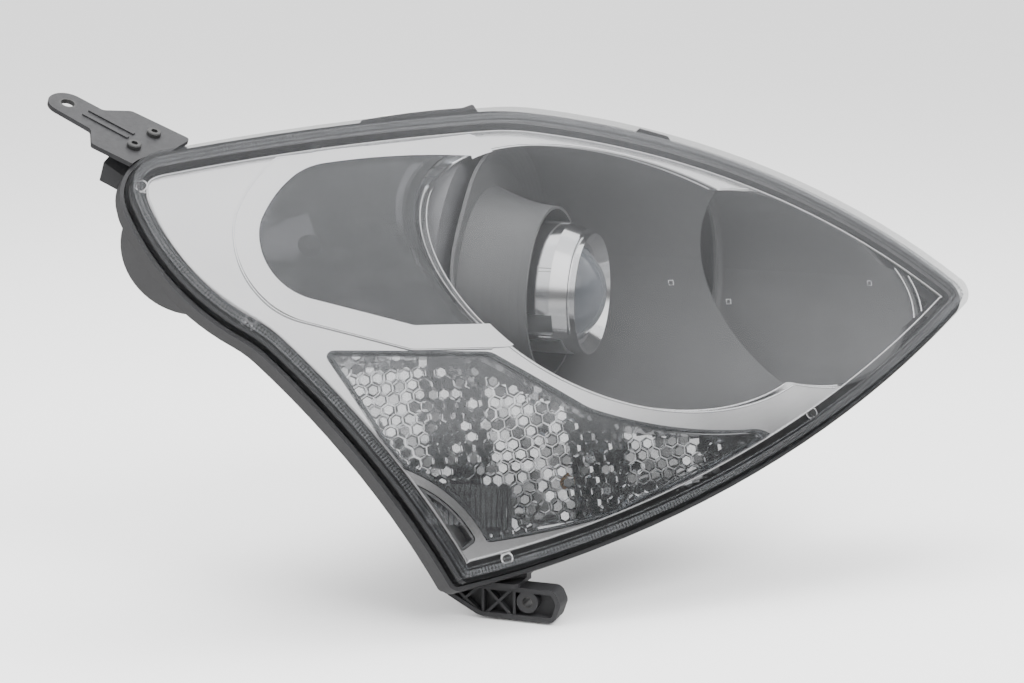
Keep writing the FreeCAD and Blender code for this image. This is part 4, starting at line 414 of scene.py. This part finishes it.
def tooth_tree():
    """Small upright ribs set across every line of the input at an even pitch."""
    tree = Tree("teeth", Pitch="Float", Width="Float", Length="Float", Height="Float", Material="Material")
    curve = tree.node("GeometryNodeMeshToCurve", {"Mesh": tree.given("Geometry")})
    points = tree.node("GeometryNodeResampleCurve", {"Curve": curve, "Length": tree.given("Pitch")},
                       mode="LENGTH")
    size = tree.node("ShaderNodeCombineXYZ", {"X": tree.given("Width"), "Y": tree.given("Length"),
                                              "Z": tree.given("Height")})
    rib = tree.node("GeometryNodeMeshCube", {"Size": size})
    tangent = tree.node("GeometryNodeInputTangent", {})
    facing = tree.node("GeometryNodeInputNamedAttribute", {"Name": "facing"}, data_type="FLOAT_VECTOR")
    turn = tree.node("FunctionNodeAxesToRotation", {"Primary Axis": tangent, "Secondary Axis": facing},
                     primary_axis="X", secondary_axis="Z")
    ribs = tree.node("GeometryNodeInstanceOnPoints", {"Points": points, "Instance": rib, "Rotation": turn})
    return tree.finish(ribs)


def facet_tree():
    """A six-sided dished facet on every point, turned to face along an attribute."""
    tree = Tree("facets", Top="Float", Foot="Float", Depth="Float", Tilt="Float", Material="Material")
    cone = tree.node("GeometryNodeMeshCone", {"Vertices": 6, "Radius Top": tree.given("Top"),
                                              "Radius Bottom": tree.given("Foot"),
                                              "Depth": tree.given("Depth")})
    facing = tree.node("GeometryNodeInputNamedAttribute", {"Name": "facing"}, data_type="FLOAT_VECTOR")
    along = tree.node("GeometryNodeInputNamedAttribute", {"Name": "along"}, data_type="FLOAT_VECTOR")
    turn = tree.node("FunctionNodeAxesToRotation", {"Primary Axis": facing, "Secondary Axis": along},
                     primary_axis="Z", secondary_axis="X")
    cells = tree.node("GeometryNodeInstanceOnPoints", {"Points": tree.given("Geometry"), "Instance": cone,
                                                       "Rotation": turn})
    both = tree.node("FunctionNodeRandomValue", {0: (-1.0, -1.0, 0.0), 1: (1.0, 1.0, 0.0), "Seed": 7},
                     data_type="FLOAT_VECTOR")
    lean = tree.node("ShaderNodeVectorMath", {0: both, "Scale": tree.given("Tilt")}, operation="SCALE")
    cells = tree.node("GeometryNodeRotateInstances", {"Instances": cells, "Rotation": lean})
    return tree.finish(cells)


BEAD, TEETH, FACETS = bead_tree(), tooth_tree(), facet_tree()


def grow(name, group, base, body, slot, replaced=(), **inputs):
    """Run a tree on a base mesh and keep the result as a plain piece that rides on a body."""
    start = bpy.data.objects.new(name + "_base", base)
    bpy.context.scene.collection.objects.link(start)
    modifier = start.modifiers.new("grow", "NODES")
    modifier.node_group = group
    inputs["Material"] = SLOTS[slot]
    for item in group.interface.items_tree:
        if item.in_out == "INPUT" and item.name in inputs:
            modifier[item.identifier] = inputs[item.name]
    start.update_tag()
    graph = bpy.context.evaluated_depsgraph_get()
    finished = start.evaluated_get(graph)
    mesh = bpy.data.meshes.new_from_object(finished, preserve_all_data_layers=True, depsgraph=graph)
    bpy.data.objects.remove(start)
    return keep(name, mesh, body, slot, replaced)


def keep(name, mesh, body, slot, replaced=()):
    """A finished piece from a mesh."""
    mesh.name = name
    made = bpy.data.objects.new(name, mesh)
    bpy.context.scene.collection.objects.link(made)
    if not mesh.materials:
        mesh.materials.append(SLOTS[slot])
    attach(made, body)
    if replaced:
        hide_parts(*replaced)
    return made


def line_mesh(name, lines, facing=None):
    """Open or closed lines as edges. A line is (points, closed)."""
    places, edges = [], []
    for points, closed in lines:
        first = len(places)
        places += points
        edges += [(first + i, first + i + 1) for i in range(len(points) - 1)]
        if closed:
            edges.append((first + len(points) - 1, first))
    mesh = bpy.data.meshes.new(name)
    mesh.from_pydata([tuple(p) for p in places], edges, [])
    layer = mesh.attributes.new("facing", "FLOAT_VECTOR", "POINT")
    for item in layer.data:
        item.vector = facing or W_AXIS
    return mesh


def lens_line(points, depth, closed=True):
    """A line drawn on the lens-shaped surface at one depth."""
    return [on_lens(u, v, depth) for u, v in points], closed


def room_from_bowls(place):
    """Whether a place is clear of the dishes round the beams."""
    p = place / MM - CROWN
    low_room = math.hypot(p.x - LOW_DISH[0], p.z - LOW_DISH[1]) - LOW_RADIUS
    high_room = math.hypot(p.x - HIGH_DISH[0], p.z - HIGH_DISH[1]) - HIGH_RADIUS
    return min(low_room, high_room) > DISH_ROOM


# border of the lens: fine parallel beads and a band of prismatic ribs
border = [lens_line(inset(LENS, away), depth) for away, depth in ((3.6, 4.2), (6.0, 4.6), (8.4, 5.4))]
grow("lens_border_beads", BEAD, line_mesh("border_lines", border), "lamp_body", "clear_lens",
     Radius=0.0005, Sides=8)
grow("lens_border_ribs", TEETH, line_mesh("rib_line", [lens_line(inset(LENS, 4.8), 4.0)]), "lamp_body",
     "clear_lens", Pitch=0.0022, Width=0.0012, Length=0.0042, Height=0.0012)
KEEP = inset(LENS, 14.6)
TURN_RIM = [p for p in inset(TURN, 1.4) if inside(p, KEEP) and room_from_bowls(on_lens(*p, 12))]
grow("turn_signal_rim_bead", BEAD, line_mesh("turn_rim_line", [lens_line(TURN_RIM, 11.8)]), "lamp_body",
     "clear_lens", Radius=0.0011, Sides=10)
grow("bezel_edge_bead", BEAD, line_mesh("bezel_line", [lens_line(inset(LENS, 13.2), 13.7)]), "lamp_body",
     "satin_chrome", Radius=0.0007, Sides=8)

# bright rolled edge round the two dishes
def dish_edge(centre, radius, other, other_radius, depth, count=240):
    """Open lines round one dish's mouth, left out where the other dish's mouth is."""
    lines, run = [], []
    for index in range(count + 1):
        turn = math.tau * index / count
        x, z = centre[0] + radius * math.cos(turn), centre[1] + radius * math.sin(turn)
        spot = front_of(x, z, depth)
        if math.hypot(x - other[0], z - other[1]) > other_radius and inside(lens_place(spot), KEEP):
            run.append(spot)
        elif run:
            lines.append((run, False))
            run = []
    return lines + [(run, False)]


def lens_place(place):
    """The lens coordinates (u, v) of a point in the row frame."""
    p = place / MM - CROWN
    return p.dot(U_AXIS), p.dot(V_AXIS)


def front_of(x, z, depth):
    """The point at (x, z) from the crown that lies at one depth behind the lens."""
    y = (-x * W_AXIS.x - z * W_AXIS.z - depth) / W_AXIS.y
    for step in range(6):
        place = Vector((x, y, z))
        gap = place.dot(W_AXIS) - lens_w(place.dot(U_AXIS), place.dot(V_AXIS), depth)
        y -= gap / W_AXIS.y
    return (CROWN + Vector((x, y, z))) * MM


rims = []
for grow_by, depth in ((0.9, 14.2), (0.1, 17.2)):
    low, high = (LOW_DISH, LOW_RADIUS + grow_by), (HIGH_DISH, HIGH_RADIUS + grow_by)
    rims += dish_edge(*low, *high, depth)
    rims += dish_edge(*high, *low, depth)
grow("dish_edge_beads", BEAD, line_mesh("dish_lines", rims), "lamp_body", "shroud_chrome",
     Radius=0.0007, Sides=10)

# side lamp: stepped bright rings round it and flutes at its foot
rings = []
for away in (3.0, 8.0, 15.5):
    ring = [p for p in inset(SIDE_LAMP, -away) if inside(p, KEEP) and room_from_bowls(on_lens(*p, 12))]
    rings.append(lens_line(ring, 13.6, False))
grow("side_lamp_rings", BEAD, line_mesh("ring_lines", rings), "lamp_body", "shroud_chrome",
     Radius=0.0008, Sides=10)
side_foot = lens_line(arc_points((-146, 48), (-92, 16), -9, 30), 24.0, False)
grow("side_lamp_flutes", TEETH, line_mesh("side_foot", [side_foot]), "lamp_body", "mirror_coat",
     Pitch=0.0034, Width=0.0024, Length=0.015, Height=0.004)

# turn signal: upright flutes at its foot
turn_foot = lens_line(arc_points((-78, -104), (-24, -112), 0, 30), 18.5, False)
grow("turn_signal_flutes", TEETH, line_mesh("turn_foot", [turn_foot]), "lamp_body", "clear_lens",
     Pitch=0.0034, Width=0.0026, Length=0.026, Height=0.002)


# aiming marks moulded on the inside of the lens
def aiming_mark(x, y, z, half=1.6):
    """A small square drawn on the lens's inner face."""
    place = Vector((x, y, z))
    u, v = place.dot(U_AXIS), place.dot(V_AXIS)
    square = [(u - half, v - half), (u + half, v - half), (u + half, v + half), (u - half, v + half)]
    return lens_line(square, 3.3)


grow("aiming_marks", BEAD, line_mesh("mark_lines", [aiming_mark(68, -67, 17), aiming_mark(89, -100, 3),
                                           aiming_mark(165, -177, 7)]),
     "lamp_body", "shroud_chrome", Radius=0.00022, Sides=6)


# turn signal: honeycomb of dished facets on a folded floor
def fold_depth(u, v):
    """Depth of the turn signal's folded floor."""
    across = ((u + 118) % 92) / 92
    return 25.0 + 11.0 * abs(2 * across - 1) + 0.05 * (v + 130)


def honeycomb(pitch):
    """Facet centres with the way each one faces."""
    shape = inset(TURN, 3.2)
    places, facing, along = [], [], []
    row = 0
    v = -140.0
    while v < 10:
        u = -150.0 + (pitch / 2 if row % 2 else 0)
        while u < 180:
            if inside((u, v), shape) and room_from_bowls(on_lens(u, v, 27.0)):
                places.append(on_lens(u, v, fold_depth(u, v)))
                step_u = on_lens(u + 1, v, fold_depth(u + 1, v)) - on_lens(u - 1, v, fold_depth(u - 1, v))
                step_v = on_lens(u, v + 1, fold_depth(u, v + 1)) - on_lens(u, v - 1, fold_depth(u, v - 1))
                facing.append(step_u.cross(step_v).normalized())
                along.append(V_AXIS)
            u += pitch
        v += pitch * 0.866
        row += 1
    mesh = bpy.data.meshes.new("honeycomb_centres")
    mesh.from_pydata([tuple(p) for p in places], [], [])
    for name, values in (("facing", facing), ("along", along)):
        layer = mesh.attributes.new(name, "FLOAT_VECTOR", "POINT")
        for item, value in zip(layer.data, values):
            item.vector = value
    return mesh


def fold_sheet(step):
    """The folded floor itself."""
    shape = inset(TURN, 2.4)
    places, faces, index = [], [], {}
    us = range(-146, 176, step)
    vs = range(-136, 4, step)
    for a, u in enumerate(us):
        for b, v in enumerate(vs):
            index[a, b] = len(places)
            places.append(tuple(on_lens(u, v, fold_depth(u, v) + 0.3)))
    for a in range(len(us) - 1):
        for b in range(len(vs) - 1):
            u, v = us[a] + step / 2, vs[b] + step / 2
            if inside((u, v), shape) and room_from_bowls(on_lens(u, v, 27.0)):
                faces.append((index[a, b], index[a + 1, b], index[a + 1, b + 1], index[a, b + 1]))
    used = sorted({i for face in faces for i in face})
    renamed = {old: new for new, old in enumerate(used)}
    mesh = bpy.data.meshes.new("fold")
    mesh.from_pydata([places[i] for i in used], [], [tuple(renamed[i] for i in face) for face in faces])
    return mesh


keep("turn_signal_fold", fold_sheet(2), "lamp_body", "mirror_coat")
grow("turn_signal_honeycomb", FACETS, honeycomb(8.0), "lamp_body", "mirror_coat", Top=0.0030, Foot=0.0045,
     Depth=0.0016, Tilt=0.22)

# ---------------------------------------------------------------- stage, camera and light
floor_mesh = bpy.data.meshes.new("floor")
SIZE, LOW = 60.0, box_low.z - 0.002
corners = [(-SIZE, -SIZE, LOW), (SIZE, -SIZE, LOW), (SIZE, SIZE, LOW), (-SIZE, SIZE, LOW)]
floor_mesh.from_pydata(corners, [], [(0, 1, 2, 3)])
floor = bpy.data.objects.new("floor", floor_mesh)
bpy.context.scene.collection.objects.link(floor)
stage_paint = Paint("stage")
cloud = stage_paint.noise(2.0, 2.0)
floor_mesh.materials.append(stage_paint.done(stage_paint.surface(
    Base_Color=stage_paint.mix(cloud, (0.93, 0.93, 0.93), (0.94, 0.94, 0.94)), Roughness=cloud * 0.05 + 0.7)))
floor.visible_glossy = False

world = bpy.data.worlds.new("studio")
bpy.context.scene.world = world
world.use_nodes = True
sky = world.node_tree
background = sky.nodes["Background"]
where = sky.nodes.new("ShaderNodeTexCoord")
parts = sky.nodes.new("ShaderNodeSeparateXYZ")
sky.links.new(where.outputs["Generated"], parts.inputs[0])
ramp = sky.nodes.new("ShaderNodeValToRGB")
level = sky.nodes.new("ShaderNodeMapRange")
level.inputs["From Min"].default_value = -1.0
sky.links.new(parts.outputs["Z"], level.inputs["Value"])
sky.links.new(level.outputs["Result"], ramp.inputs["Fac"])
ramp.color_ramp.elements[0].color = (0.35, 0.35, 0.35, 1)
for place, shade in ((0.44, 0.30), (0.50, 0.06), (0.58, 0.10), (0.66, 0.75)):
    ramp.color_ramp.elements.new(place).color = (shade, shade, shade, 1)
sky.links.new(ramp.outputs["Color"], background.inputs["Color"])
background.inputs["Strength"].default_value = 2.2


def light(name, place, target, size, power, shown=False):
    """A soft rectangular light that looks at a target."""
    lamp = bpy.data.lights.new(name, "AREA")
    lamp.shape, lamp.size, lamp.size_y, lamp.energy = "RECTANGLE", size[0], size[1], power
    made = bpy.data.objects.new(name, lamp)
    made.location = place
    made.rotation_euler = (Vector(target) - Vector(place)).to_track_quat("-Z", "Y").to_euler()
    made.visible_glossy = shown
    bpy.context.scene.collection.objects.link(made)
    return made


MIDDLE = (0.05, 0.0, 0.2)
light("key", (-0.9, -1.3, 1.6), MIDDLE, (1.2, 1.0), 60)
light("fill", (-1.6, 0.9, 0.9), MIDDLE, (1.4, 1.2), 20)
light("top", (0.2, 0.2, 1.9), MIDDLE, (1.6, 1.2), 50)

camera_data = bpy.data.cameras.new("camera")
camera_data.lens, camera_data.sensor_width = 85.0, 36.0
camera = bpy.data.objects.new("camera", camera_data)
bpy.context.scene.collection.objects.link(camera)
camera.location = (-1.3906, -0.4707, 0.4589)
LOOK_BACK = Vector((-0.926, -0.3225, 0.196)).normalized()
camera.rotation_euler = LOOK_BACK.to_track_quat("Z", "Y").to_euler()
bpy.context.scene.camera = camera
